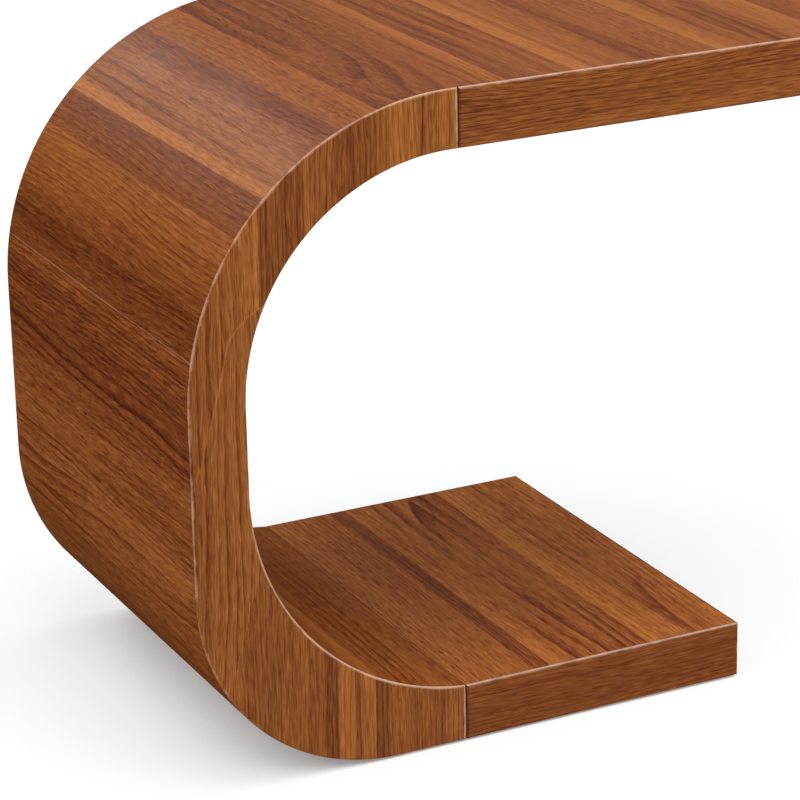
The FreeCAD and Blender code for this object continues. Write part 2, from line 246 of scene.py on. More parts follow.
@dataclass
class MeshDraft:
    """Vertices, faces and surface coordinates of a piece while it is drawn.

    Attributes:
        vertices: Where the vertices are.
        boards: Where they lie on the veneer, across and along the grain.
        faces: The vertices round each face.
        edges: How pale (1: wear and painted highlight) or dark (-1: painted shade) the edge is at each
            corner of each face.
    """

    vertices: list[Vector] = field(default_factory=list)
    boards: list[Vector] = field(default_factory=list)
    faces: list[list[int]] = field(default_factory=list)
    edges: list[list[float]] = field(default_factory=list)

    def point(self, place: Vector, board: Vector) -> int:
        """Add a vertex.

        Args:
            place: Where it is.
            board: Where it lies on the veneer.

        Returns:
            Its number.
        """
        self.vertices.append(place)
        self.boards.append(board)
        return len(self.vertices) - 1

    def face(self, corners: list[int], edge: list[float] | None = None) -> None:
        """Add a face, with its edge mark at each corner (wear and painted highlight, or painted shade)
        or none at all.
        """
        self.faces.append(corners)
        self.edges.append(edge or [0.0] * len(corners))

    def finish(self, name: str) -> bpy.types.Object:
        """Turn the draft into an object with smooth bends and crisp corners.

        Args:
            name: Name of the new object.

        Returns:
            The object, moved to the row frame.
        """
        mesh = bpy.data.meshes.new(name)
        mesh.from_pydata(self.vertices, [], self.faces)
        mesh.transform(Matrix.Translation((-SIZES.top_length / 2, 0, 0)))
        board = mesh.attributes.new("board", "FLOAT_VECTOR", "POINT")
        board.data.foreach_set("vector", [number for place in self.boards for number in place])
        edge = mesh.attributes.new("edge", "FLOAT", "CORNER")
        edge.data.foreach_set("value", [number for corners in self.edges for number in corners])
        mesh.polygons.foreach_set("use_smooth", [True] * len(mesh.polygons))
        mesh.set_sharp_from_angle(angle=SHARP_ANGLE)
        mesh.validate()
        piece = new_object(name, mesh)
        normals = piece.modifiers.new("even_normals", "WEIGHTED_NORMAL")
        normals.keep_sharp = True
        return piece


class Nodes:
    """Short calls for drawing one node tree."""

    def __init__(self, tree: bpy.types.NodeTree) -> None:
        """Draw in this tree."""
        self.tree = tree

    def add(self, kind: str, wires: Sequence[Wire] = (), **settings: object) -> bpy.types.Node:
        """Add a node and wire its first inputs.

        Args:
            kind: Type of the node.
            wires: For each input in order, a socket to link, a value to set or None.
            **settings: Properties of the node.

        Returns:
            The new node.
        """
        node = self.tree.nodes.new(kind)
        for name, setting in settings.items():
            setattr(node, name, setting)
        for socket, wire in zip(node.inputs, wires):
            self.wire(socket, wire)
        return node

    def wire(self, socket: Socket, wire: Wire) -> None:
        """Link a socket to another one, or set its value.

        Args:
            socket: The input.
            wire: A socket to link, a value to set or None to leave the input as it is.
        """
        if isinstance(wire, bpy.types.NodeSocket):
            self.tree.links.new(wire, socket)
        elif wire is not None:
            socket.default_value = wire

    def math(self, operation: str, *wires: Wire, clamp: bool = False) -> Socket:
        """Add a calculation and give its result."""
        return self.add("ShaderNodeMath", wires, operation=operation, use_clamp=clamp).outputs[0]

    def swing(self, value: Wire, reach: float) -> Socket:
        """Turn a value from 0 to 1 into one that swings about zero over a reach."""
        return self.math("MULTIPLY_ADD", value, reach, -reach / 2)

    def scaled(self, vector: Wire, factors: Triple, shift: Wire) -> Socket:
        """Stretch a vector along its axes and move it."""
        node = self.add("ShaderNodeVectorMath", (vector, factors, shift), operation="MULTIPLY_ADD")
        return node.outputs[0]

    def noise(self, vector: Wire, detail: float, roughness: float = 0.5) -> Socket:
        """Add a noise of unit scale.

        Args:
            vector: Where the noise is read.
            detail: Number of finer octaves.
            roughness: Share of each finer octave.

        Returns:
            The value of the noise.
        """
        node = self.add("ShaderNodeTexNoise")
        self.wire(node.inputs["Vector"], vector)
        for name, number in (("Scale", 1.0), ("Detail", detail), ("Roughness", roughness)):
            node.inputs[name].default_value = number
        return node.outputs[0]

    def span(self, value: Wire, low: float, high: float, to_low: float = 0.0, to_high: float = 1.0,
             smooth: bool = True) -> Socket:
        """Map a span of values to another one.

        Args:
            value: What is mapped.
            low: Start of the span.
            high: End of the span.
            to_low: Result at the start.
            to_high: Result at the end.
            smooth: Whether the result eases in and out.

        Returns:
            The mapped value.
        """
        kind = "SMOOTHSTEP" if smooth else "LINEAR"
        node = self.add("ShaderNodeMapRange", (value, low, high, to_low, to_high),
                        interpolation_type=kind)
        return node.outputs[0]

    def mix(self, share: Wire, first: Wire, second: Wire) -> Socket:
        """Mix two colours.

        Args:
            share: Share of the second colour.
            first: The first colour.
            second: The second colour.

        Returns:
            The mixed colour.
        """
        node = self.add("ShaderNodeMix", data_type="RGBA")
        for name, wire in (("Factor_Float", share), ("A_Color", first), ("B_Color", second)):
            self.wire(next(socket for socket in node.inputs if socket.identifier == name), wire)
        return next(socket for socket in node.outputs if socket.identifier == "Result_Color")

    def ramp(self, value: Wire, stops: Sequence[Stop], stepped: bool = False) -> bpy.types.Node:
        """Add a colour ramp.

        Args:
            value: Position on the ramp.
            stops: Position and colour of each stop.
            stepped: Whether each colour holds until the next stop.

        Returns:
            The ramp node.
        """
        node = self.add("ShaderNodeValToRGB", (value,))
        node.color_ramp.interpolation = "CONSTANT" if stepped else "LINEAR"
        elements = node.color_ramp.elements
        while len(elements) > 1:
            elements.remove(elements[-1])
        for number, (position, colour) in enumerate(stops):
            stop = elements[0] if number == 0 else elements.new(position)
            stop.position = position
            stop.color = colour
        return node

    def attribute(self, name: str) -> bpy.types.Node:
        """Read an attribute of the mesh."""
        return self.add("ShaderNodeAttribute", attribute_name=name)


@dataclass(frozen=True)
class GrainNoise:
    """A noise on a board, stretched along the grain.

    Attributes:
        across: Waves in a metre across the grain.
        along: Waves in a metre along the grain.
        detail: Number of finer octaves.
        roughness: Share of each finer octave.
    """

    across: float
    along: float
    detail: float = 1.0
    roughness: float = 0.5

    def draw(self, nodes: Nodes, board: Wire, shift: Wire) -> Socket:
        """Draw the noise.

        Args:
            nodes: The tree to draw in.
            board: The place on the board, across and along the grain.
            shift: How far the noise is moved, in waves.

        Returns:
            The value of the noise.
        """
        place = nodes.scaled(board, (self.across, self.along, 1.0), shift)
        return nodes.noise(place, self.detail, self.roughness)


class Effect:
    """A shader node group that several finishes share.

    Attributes:
        name: Name of the group.
        inputs: Names and types of the inputs.
        outputs: Names and types of the outputs.
    """

    FLOAT = "NodeSocketFloat"
    VECTOR = "NodeSocketVector"
    COLOUR = "NodeSocketColor"
    name = ""
    inputs: tuple[tuple[str, str], ...] = ()
    outputs: tuple[tuple[str, str], ...] = ()

    def __init__(self) -> None:
        """Build the group once."""
        tree = bpy.data.node_groups.new(self.name, "ShaderNodeTree")
        for way, sockets in (("INPUT", self.inputs), ("OUTPUT", self.outputs)):
            for label, kind in sockets:
                tree.interface.new_socket(name=label, in_out=way, socket_type=kind)
        self.tree = tree
        nodes = Nodes(tree)
        given = nodes.add("NodeGroupInput")
        results = self.draw(nodes, {label: given.outputs[label] for label, _ in self.inputs})
        sink = nodes.add("NodeGroupOutput")
        for label, socket in results.items():
            nodes.wire(sink.inputs[label], socket)

    def draw(self, nodes: Nodes, given: dict[str, Socket]) -> dict[str, Socket]:
        """Draw what is inside the group.

        Args:
            nodes: The group's own tree.
            given: The group's inputs by name.

        Returns:
            The group's outputs by name.
        """
        raise NotImplementedError

    def place(self, nodes: Nodes, **wires: Wire) -> dict[str, Socket]:
        """Place the group in a material.

        Args:
            nodes: The material's tree.
            **wires: Inputs by name, with _ for a space.

        Returns:
            The outputs by name.
        """
        node = nodes.add("ShaderNodeGroup", node_tree=self.tree)
        for label, wire in wires.items():
            nodes.wire(node.inputs[label.replace("_", " ")], wire)
        return {label: node.outputs[label] for label, _ in self.outputs}


class GrainEffect(Effect):
    """Growth rings, dark veins, fibres, pores and broad streaks of a board.

    Lengths are in metres. A span holds its start and end, and after them the results at both.
    """

    name = "board_grain"
    inputs = (("Board", Effect.VECTOR), ("Seed", Effect.FLOAT), ("Heart", Effect.FLOAT),
              ("Figure", Effect.FLOAT), ("Ring Spacing", Effect.FLOAT),
              ("Figure Strength", Effect.FLOAT), ("Streak Strength", Effect.FLOAT))
    outputs = (("Rings", Effect.FLOAT), ("Veins", Effect.FLOAT), ("Fibre", Effect.FLOAT),
               ("Pores", Effect.FLOAT), ("Streak", Effect.FLOAT))
    # How far a seed moves the noises along each axis.
    seed_steps = (37.0, 91.0, 53.0)
    # What bends the grain aside, from slow to quick, and how far.
    sway = GrainNoise(8.0, 2.2)
    sway_reach = 0.030
    ripple = GrainNoise(42.0, 9.0)
    ripple_reach = 0.0044
    ripple_rest = -0.0029
    wiggle = GrainNoise(70.0, 17.0)
    wiggle_reach = 0.0012
    # What crowds the rings, how they darken through a year, and how an arched figure changes that.
    seasons = GrainNoise(36.0, 1.6, 2.0)
    season_drift = 2.2
    ring_rise = (0.05, 0.86)
    ring_sharpness = 3.2
    figure_widening = 1.9
    figure_softening = -1.7
    # Good and bad years, which make the rings and the veins strong or faint.
    years = GrainNoise(26.0, 3.2)
    ring_years = (0.36, 0.60, 0.15, 1.0)
    vein_years = (0.40, 0.62, 1.0, 0.25)
    # Long thin veins.
    lines = GrainNoise(250.0, 3.4, 2.0, 0.55)
    vein_span = (0.36, 0.44, 1.0, 0.0)
    # Bundles of fibres and single ones, and what keeps their mean.
    coarse = GrainNoise(320.0, 4.0, 2.0, 0.60)
    coarse_share = 0.24
    fine = GrainNoise(1250.0, 60.0)
    fine_share = 1.16
    fibre_rest = -0.20
    # Pores as short dashes, crowded in patches.
    dashes = GrainNoise(900.0, 85.0)
    pore_span = (0.58, 0.66)
    patches = GrainNoise(20.0, 6.0)
    patch_span = (0.36, 0.62, 0.25, 1.0)
    # Broad streaks.
    shades = GrainNoise(62.0, 1.5, 3.0, 0.55)
    # Where the tip of an arched figure lies and how its heart slopes, both drawn from the seed.
    tip_step = 7.13
    tip_reach = 0.30
    lean_step = 3.77
    lean_reach = 0.24
    sink_reach = 0.04

    def draw(self, nodes: Nodes, given: dict[str, Socket]) -> dict[str, Socket]:
        """Draw rings about a heart that sinks along the board, and the finer grain.

        Args:
            nodes: The group's own tree.
            given: The group's inputs by name.

        Returns:
            The group's outputs by name.
        """
        shift = nodes.add("ShaderNodeCombineXYZ", [
            nodes.math("MULTIPLY", given["Seed"], step) for step in self.seed_steps]).outputs[0]
        across, along, level = nodes.add("ShaderNodeSeparateXYZ", (given["Board"],)).outputs
        sway, ripple, wiggle = [
            noise.draw(nodes, given["Board"], shift) for noise in (self.sway, self.ripple, self.wiggle)]
        bend = nodes.math("MULTIPLY_ADD", nodes.math("SUBTRACT", sway, NOISE_MEAN), self.sway_reach,
                          nodes.math("MULTIPLY_ADD", ripple, self.ripple_reach, self.ripple_rest))
        bend = nodes.math("MULTIPLY_ADD", wiggle, self.wiggle_reach, bend)
        board = nodes.add("ShaderNodeCombineXYZ", (
            nodes.math("ADD", across, bend), along, level)).outputs[0]

        distance = self.heart_distance(nodes, given, (across, along), bend, sway)
        seasons = nodes.math("MULTIPLY", self.seasons.draw(nodes, board, shift), self.season_drift)
        years = self.years.draw(nodes, board, shift)
        rings = self.rings(nodes, given, distance, seasons, years)
        veins = nodes.math("MULTIPLY",
                           nodes.span(self.lines.draw(nodes, board, shift), *self.vein_span),
                           nodes.span(years, *self.vein_years))
        coarse = self.coarse.draw(nodes, board, shift)
        fine = self.fine.draw(nodes, board, shift)
        fibre = nodes.math("MULTIPLY_ADD", coarse, self.coarse_share,
                           nodes.math("MULTIPLY_ADD", fine, self.fine_share, self.fibre_rest))
        pores = nodes.math("MULTIPLY",
                           nodes.span(self.dashes.draw(nodes, board, shift), *self.pore_span),
                           nodes.span(self.patches.draw(nodes, board, shift), *self.patch_span))
        shades = nodes.math("SUBTRACT", self.shades.draw(nodes, board, shift), NOISE_MEAN)
        streak = nodes.math("MULTIPLY", shades, given["Streak Strength"])
        return {"Rings": rings, "Veins": veins, "Fibre": fibre, "Pores": pores, "Streak": streak}

    def rings(self, nodes: Nodes, given: dict[str, Socket], distance: Socket, seasons: Socket,
              years: Socket) -> Socket:
        """Draw the growth rings, which darken slowly through a year and end at once.

        Args:
            nodes: The group's own tree.
            given: The group's inputs by name.
            distance: Distance from the heart of the board.
            seasons: By how many rings they are moved there.
            years: How good the years are there.

        Returns:
            How dark the rings are.
        """
        figure = given["Figure"]
        wide = nodes.math("MULTIPLY_ADD", figure, self.figure_widening, 1.0)
        spacing = nodes.math("MULTIPLY", given["Ring Spacing"], wide)
        phase = nodes.math("FRACT", nodes.math(
            "ADD", seasons, nodes.math("DIVIDE", distance, spacing)))
        sharp = nodes.math("MULTIPLY_ADD", figure, self.figure_softening, self.ring_sharpness)
        late = nodes.math("POWER", nodes.span(phase, *self.ring_rise, smooth=False), sharp)
        rings = nodes.math("MULTIPLY", late, nodes.span(phase, self.ring_rise[1], 1.0, 1.0, 0.0))
        rings = nodes.math("MULTIPLY", rings, nodes.span(years, *self.ring_years))
        bold = nodes.math("MULTIPLY", figure, given["Figure Strength"])
        return nodes.math("MULTIPLY_ADD", rings, bold, rings)

    def heart_distance(self, nodes: Nodes, given: dict[str, Socket], place: Sequence[Socket],
                       bend: Socket, sway: Socket) -> Socket:
        """Measure how far a place lies from the heart of the board.

        Args:
            nodes: The group's own tree.
            given: The group's inputs by name.
            place: The place on the board, across and along the grain.
            bend: How far the grain is bent aside there.
            sway: The slow noise that bends it.

        Returns:
            The distance in metres, round the heart for figured boards and across for straight ones.
        """
        across = nodes.math("ADD", nodes.math("SUBTRACT", place[0], given["Heart"]), bend)
        tip, lean = [
            nodes.swing(nodes.math("FRACT", nodes.math("MULTIPLY", given["Seed"], step)), reach)
            for step, reach in ((self.tip_step, self.tip_reach), (self.lean_step, self.lean_reach))]
        sink = nodes.math("MULTIPLY_ADD", nodes.math("SUBTRACT", place[1], tip), lean,
                          nodes.swing(sway, self.sink_reach))
        circle = nodes.math("SQRT", nodes.math("ADD", nodes.math("MULTIPLY", across, across),
                                               nodes.math("MULTIPLY", sink, sink)))
        straight = nodes.math("SUBTRACT", 1.0, given["Figure"])
        return nodes.math("ADD", nodes.math("MULTIPLY", circle, given["Figure"]),
                          nodes.math("MULTIPLY", nodes.math("ABSOLUTE", across), straight))


class SpliceEffect(Effect):
    """The three boards of a C-shaped facing, cut together along slanting splices.

    Lengths and levels are in metres.
    """

    name = "spliced_boards"
    inputs = (("Board", Effect.VECTOR),)
    outputs = (("Board", Effect.VECTOR), ("Splice", Effect.FLOAT))
    # The leg's stretch of the veneer, the level where it ends, and the slant of its splice.
    leg_shift = 0.250
    leg_top = 0.425
    leg_slope = 0.29
    leg_start = -0.0765
    # Where and how strongly that splice hooks over at its top, and the grain leans at the foot.
    hook_level = 0.388
    hook = 24.3
    lean_level = 0.260
    lean = 0.30
    # The toe's stretch of the veneer, the level where it ends, and the slant of its splice.
    toe_shift = 0.320
    toe_top = 0.230
    toe_slope = 0.27
    toe_start = 0.0041
    # What sways the splices and the grain, and how far.
    wave = GrainNoise(26.0, 26.0, 2.0)
    wave_shift = (5.0, 2.0, 0.0)
    stray = GrainNoise(24.0, 8.0, 2.0)
    stray_shift = (1.0, 9.0, 0.0)
    reach = 0.008
    # How the pale line of the leg's splice fades beside it, and below.
    line_span = (0.0003, 0.0013, 1.0, 0.0)
    line_levels = (0.27, 0.36)

    def draw(self, nodes: Nodes, given: dict[str, Socket]) -> dict[str, Socket]:
        """Move the leg and the toe to stretches of their own across the veneer.

        Args:
            nodes: The group's own tree.
            given: The group's inputs by name.

        Returns:
            The group's outputs by name.
        """
        across, level, side = nodes.add("ShaderNodeSeparateXYZ", (given["Board"],)).outputs
        wave = self.wave.draw(nodes, given["Board"], self.wave_shift)
        cut = nodes.math("ADD", across, nodes.swing(wave, self.reach))
        risen = nodes.math("MAXIMUM", nodes.math("SUBTRACT", level, self.hook_level), 0.0)
        hooked = nodes.math("MULTIPLY", nodes.math("MULTIPLY", risen, risen), self.hook)
        past_leg = nodes.math("SUBTRACT", nodes.math("SUBTRACT", cut, hooked),
                              nodes.math("MULTIPLY_ADD", level, self.leg_slope, self.leg_start))
        past_toe = nodes.math("SUBTRACT", cut,
                              nodes.math("MULTIPLY_ADD", level, self.toe_slope, self.toe_start))
        below_leg = nodes.math("LESS_THAN", level, self.leg_top)
        toe = nodes.math("MULTIPLY", nodes.math("GREATER_THAN", past_toe, 0.0),
                         nodes.math("LESS_THAN", level, self.toe_top))
        leg = nodes.math("MULTIPLY", nodes.math("GREATER_THAN", past_leg, 0.0), below_leg)
        leg = nodes.math("MULTIPLY", leg, nodes.math("SUBTRACT", 1.0, toe))

        leaning = nodes.math("MAXIMUM", nodes.math("SUBTRACT", self.lean_level, level), 0.0)
        leg_move = nodes.math("MULTIPLY_ADD", nodes.math("MULTIPLY", leaning, leaning), self.lean,
                              self.leg_shift)
        stray = self.stray.draw(nodes, given["Board"], self.stray_shift)
        moved = nodes.math("ADD", across, nodes.swing(stray, self.reach))
        moved = nodes.math("MULTIPLY_ADD", leg, leg_move, moved)
        moved = nodes.math("MULTIPLY_ADD", toe, self.toe_shift, moved)
        line = nodes.span(nodes.math("ABSOLUTE", past_leg), *self.line_span)
        line = nodes.math("MULTIPLY", line, nodes.span(level, *self.line_levels))
        board = nodes.add("ShaderNodeCombineXYZ", (moved, level, side)).outputs[0]
        return {"Board": board, "Splice": nodes.math("MULTIPLY", line, below_leg)}


class WalnutToneEffect(Effect):
    """The colour of walnut for the tone of its board and the grain on it.

    Attributes:
        rest: What is added to the grain, to keep the mean tone of the board.
        weights: For each kind of grain, its value where it does nothing and its weight.
        tones: The colours of walnut from the darkest tone to the lightest.
    """

    name = "walnut_tone"
    inputs = (("Tone", Effect.FLOAT), ("Rings", Effect.FLOAT), ("Veins", Effect.FLOAT),
              ("Fibre", Effect.FLOAT), ("Pores", Effect.FLOAT), ("Streak", Effect.FLOAT),
              ("Contrast", Effect.FLOAT), ("Tint", Effect.COLOUR))
    outputs = (("Color", Effect.COLOUR),)
    rest = 0.065
    weights = (("Rings", 0.0, -0.28), ("Veins", 0.0, -0.13), ("Fibre", 0.5, 0.90),
               ("Pores", 0.0, -0.18), ("Streak", 0.0, 0.38))
    tones = (
        (0.00, (0.072, 0.0120, 0.0017, 1.0)),
        (0.20, (0.135, 0.0285, 0.0044, 1.0)),
        (0.40, (0.220, 0.0585, 0.0098, 1.0)),
        (0.60, (0.318, 0.0995, 0.0184, 1.0)),
        (0.75, (0.392, 0.1370, 0.0270, 1.0)),
        (1.00, (0.525, 0.2110, 0.0470, 1.0)),
    )

    def draw(self, nodes: Nodes, given: dict[str, Socket]) -> dict[str, Socket]:
        """Add the grain to the tone and look the colour up.

        Args:
            nodes: The group's own tree.
            given: The group's inputs by name.

        Returns:
            The group's outputs by name.
        """
        grain: Wire = self.rest
        for label, middle, weight in self.weights:
            grain = nodes.math("MULTIPLY_ADD", nodes.math("SUBTRACT", given[label], middle), weight,
                               grain)
        tone = nodes.math("MULTIPLY_ADD", grain, given["Contrast"], given["Tone"])
        wood = nodes.ramp(tone, self.tones).outputs["Color"]
        tinted = nodes.add("ShaderNodeVectorMath", (wood, given["Tint"]), operation="MULTIPLY")
        return {"Color": tinted.outputs[0]}


class EasedEdgeEffect(Effect):
    """Pale eased edges of wear and painted highlight, and painted shade in the gaps and along the rear
    edges.

    Attributes:
        patch_scale: Waves in a metre of the noise that breaks the pale edge up.
        patch_shift: How far that noise is moved.
        patch_detail: Number of finer octaves in it.
        gap_span: Span of that noise from a gap to none.
        gap_share: How much of a faint edge is lost in a gap.
    """

    name = "eased_edge"
    inputs = (("Color", Effect.COLOUR), ("Board", Effect.VECTOR), ("Edge", Effect.FLOAT),
              ("Pale", Effect.COLOUR), ("Grime", Effect.COLOUR))
    outputs = (("Color", Effect.COLOUR),)
    patch_scale = (60.0, 60.0, 60.0)
    patch_shift = (3.0, 7.0, 0.0)
    patch_detail = 3.0
    gap_span = (0.34, 0.60, 1.0, 0.0)
    gap_share = 0.35

    def draw(self, nodes: Nodes, given: dict[str, Socket]) -> dict[str, Socket]:
        """Mix the pale edge (wear and painted highlight) and the painted shade over the colour, the
        fainter the more broken up.

        Args:
            nodes: The group's own tree.
            given: The group's inputs by name.

        Returns:
            The group's outputs by name.
        """
        edge = given["Edge"]
        place = nodes.scaled(given["Board"], self.patch_scale, self.patch_shift)
        patches = nodes.noise(place, self.patch_detail)
        gaps = nodes.span(patches, *self.gap_span)
        faint = nodes.math("MULTIPLY", nodes.math("SUBTRACT", 1.0, edge), gaps)
        pale = nodes.math("SUBTRACT", edge, nodes.math("MULTIPLY", faint, self.gap_share), clamp=True)
        # Negative edge values paint shade into the joint gaps and along the rear edges.
        dark = nodes.math("MULTIPLY", edge, -1.0, clamp=True)
        # The pale mix is wear and painted highlight.
        painted_light_and_wear = nodes.mix(pale, given["Color"], given["Pale"])
        return {"Color": nodes.mix(dark, painted_light_and_wear, given["Grime"])}


class SatinEffect(Effect):
    """Roughness and relief of lacquered wood.

    Attributes:
        clouds: Noise of the dull patches.
        cloud_shift: How far that noise is moved.
        cloud_roughness: How much the patches change the roughness.
        pore_roughness: How much rougher the pores are.
        pore_height: Height of the pores.
        fibre_height: Height of the fibres.
    """

    name = "satin_lacquer"
    inputs = (("Board", Effect.VECTOR), ("Fibre", Effect.FLOAT), ("Pores", Effect.FLOAT),
              ("Roughness", Effect.FLOAT))
    outputs = (("Roughness", Effect.FLOAT), ("Height", Effect.FLOAT))
    clouds = GrainNoise(14.0, 11.0, 3.0)
    cloud_shift = (1.0, 2.0, 3.0)
    cloud_roughness = 0.16
    pore_roughness = 0.12
    pore_height = -0.8
    fibre_height = 0.5

    def draw(self, nodes: Nodes, given: dict[str, Socket]) -> dict[str, Socket]:
        """Make the lacquer sink into the pores and dull it in cloudy patches.

        Args:
            nodes: The group's own tree.
            given: The group's inputs by name.

        Returns:
            The group's outputs by name.
        """
        clouds = self.clouds.draw(nodes, given["Board"], self.cloud_shift)
        rough = nodes.math("MULTIPLY_ADD", nodes.math("SUBTRACT", clouds, NOISE_MEAN),
                           self.cloud_roughness, given["Roughness"])
        rough = nodes.math("MULTIPLY_ADD", given["Pores"], self.pore_roughness, rough)
        height = nodes.math("MULTIPLY_ADD", given["Pores"], self.pore_height,
                            nodes.math("MULTIPLY", given["Fibre"], self.fibre_height))
        return {"Roughness": rough, "Height": height}


class SpeckleEffect(Effect):
    """Fine mottling of the small fittings and plain boards.

    Attributes:
        cloud_detail: Number of finer octaves in the clouds.
        speck_detail: Number of finer octaves in the specks.
        speck_roughness: Share of each of these octaves.
        speck_span: Span of the finer noise from none to a speck.
    """

    name = "speckle"
    inputs = (("Place", Effect.VECTOR), ("Coarse", Effect.FLOAT), ("Fine", Effect.FLOAT))
    outputs = (("Clouds", Effect.FLOAT), ("Specks", Effect.FLOAT))
    cloud_detail = 3.0
    speck_detail = 2.0
    speck_roughness = 0.6
    speck_span = (0.42, 0.64)

    def draw(self, nodes: Nodes, given: dict[str, Socket]) -> dict[str, Socket]:
        """Draw soft clouds and small specks at their own scales.

        Args:
            nodes: The group's own tree.
            given: The group's inputs by name.

        Returns:
            The group's outputs by name.
        """
        coarse, fine = [nodes.add("ShaderNodeVectorMath", operation="SCALE") for _ in range(2)]
        for node, size in ((coarse, "Coarse"), (fine, "Fine")):
            nodes.wire(node.inputs[0], given["Place"])
            nodes.wire(node.inputs["Scale"], given[size])
        clouds = nodes.noise(coarse.outputs[0], self.cloud_detail)
        specks = nodes.noise(fine.outputs[0], self.speck_detail, self.speck_roughness)
        return {"Clouds": clouds, "Specks": nodes.span(specks, *self.speck_span)}


@dataclass(frozen=True)
class Effects:
    """The shared groups, each built once."""

    grain: GrainEffect
    splice: SpliceEffect
    walnut: WalnutToneEffect
    edge: EasedEdgeEffect
    satin: SatinEffect
    speckle: SpeckleEffect

    @classmethod
    def build(cls) -> "Effects":
        """Build all the groups."""
        return cls(GrainEffect(), SpliceEffect(), WalnutToneEffect(), EasedEdgeEffect(),
                   SatinEffect(), SpeckleEffect())


def new_material(name: str) -> tuple[bpy.types.Material, Nodes, bpy.types.Node]:
    """Start a material.

    Args:
        name: Name of the material.

    Returns:
        The material, its tree and its shader.
    """
    material = bpy.data.materials.new(name)
    material.use_nodes = True
    nodes = Nodes(material.node_tree)
    shader = next(node for node in material.node_tree.nodes if node.type == "BSDF_PRINCIPLED")
    return material, nodes, shader


def wire_relief(nodes: Nodes, shader: bpy.types.Node, height: Socket, strength: float,
                depth: float) -> None:
    """Give a shader a relief.

    Args:
        nodes: The material's tree.
        shader: The shader.
        height: Height of the relief, from 0 to 1.
        strength: How strongly it shows.
        depth: Its depth in metres.
    """
    bump = nodes.add("ShaderNodeBump")
    bump.inputs["Strength"].default_value = strength
    bump.inputs["Distance"].default_value = depth
    nodes.wire(bump.inputs["Height"], height)
    nodes.wire(shader.inputs["Normal"], bump.outputs["Normal"])


@dataclass(frozen=True)
class Stave:
    """One board of a veneer.

    Attributes:
        start: Where the board begins, in millimetres across the veneer.
        tone: How light the board is where it begins, from 0 to 1.
        figure: 0 for straight grain, 1 for the arched figure of a flat-sawn board.
        heart: Where the figure is centred, in millimetres, or None for far beside the board.
        fade: How light the board is where it ends, or None for the same tone all over.
    """

    start: float
    tone: float
    figure: float = 0.0
    heart: float | None = None
    fade: float | None = None


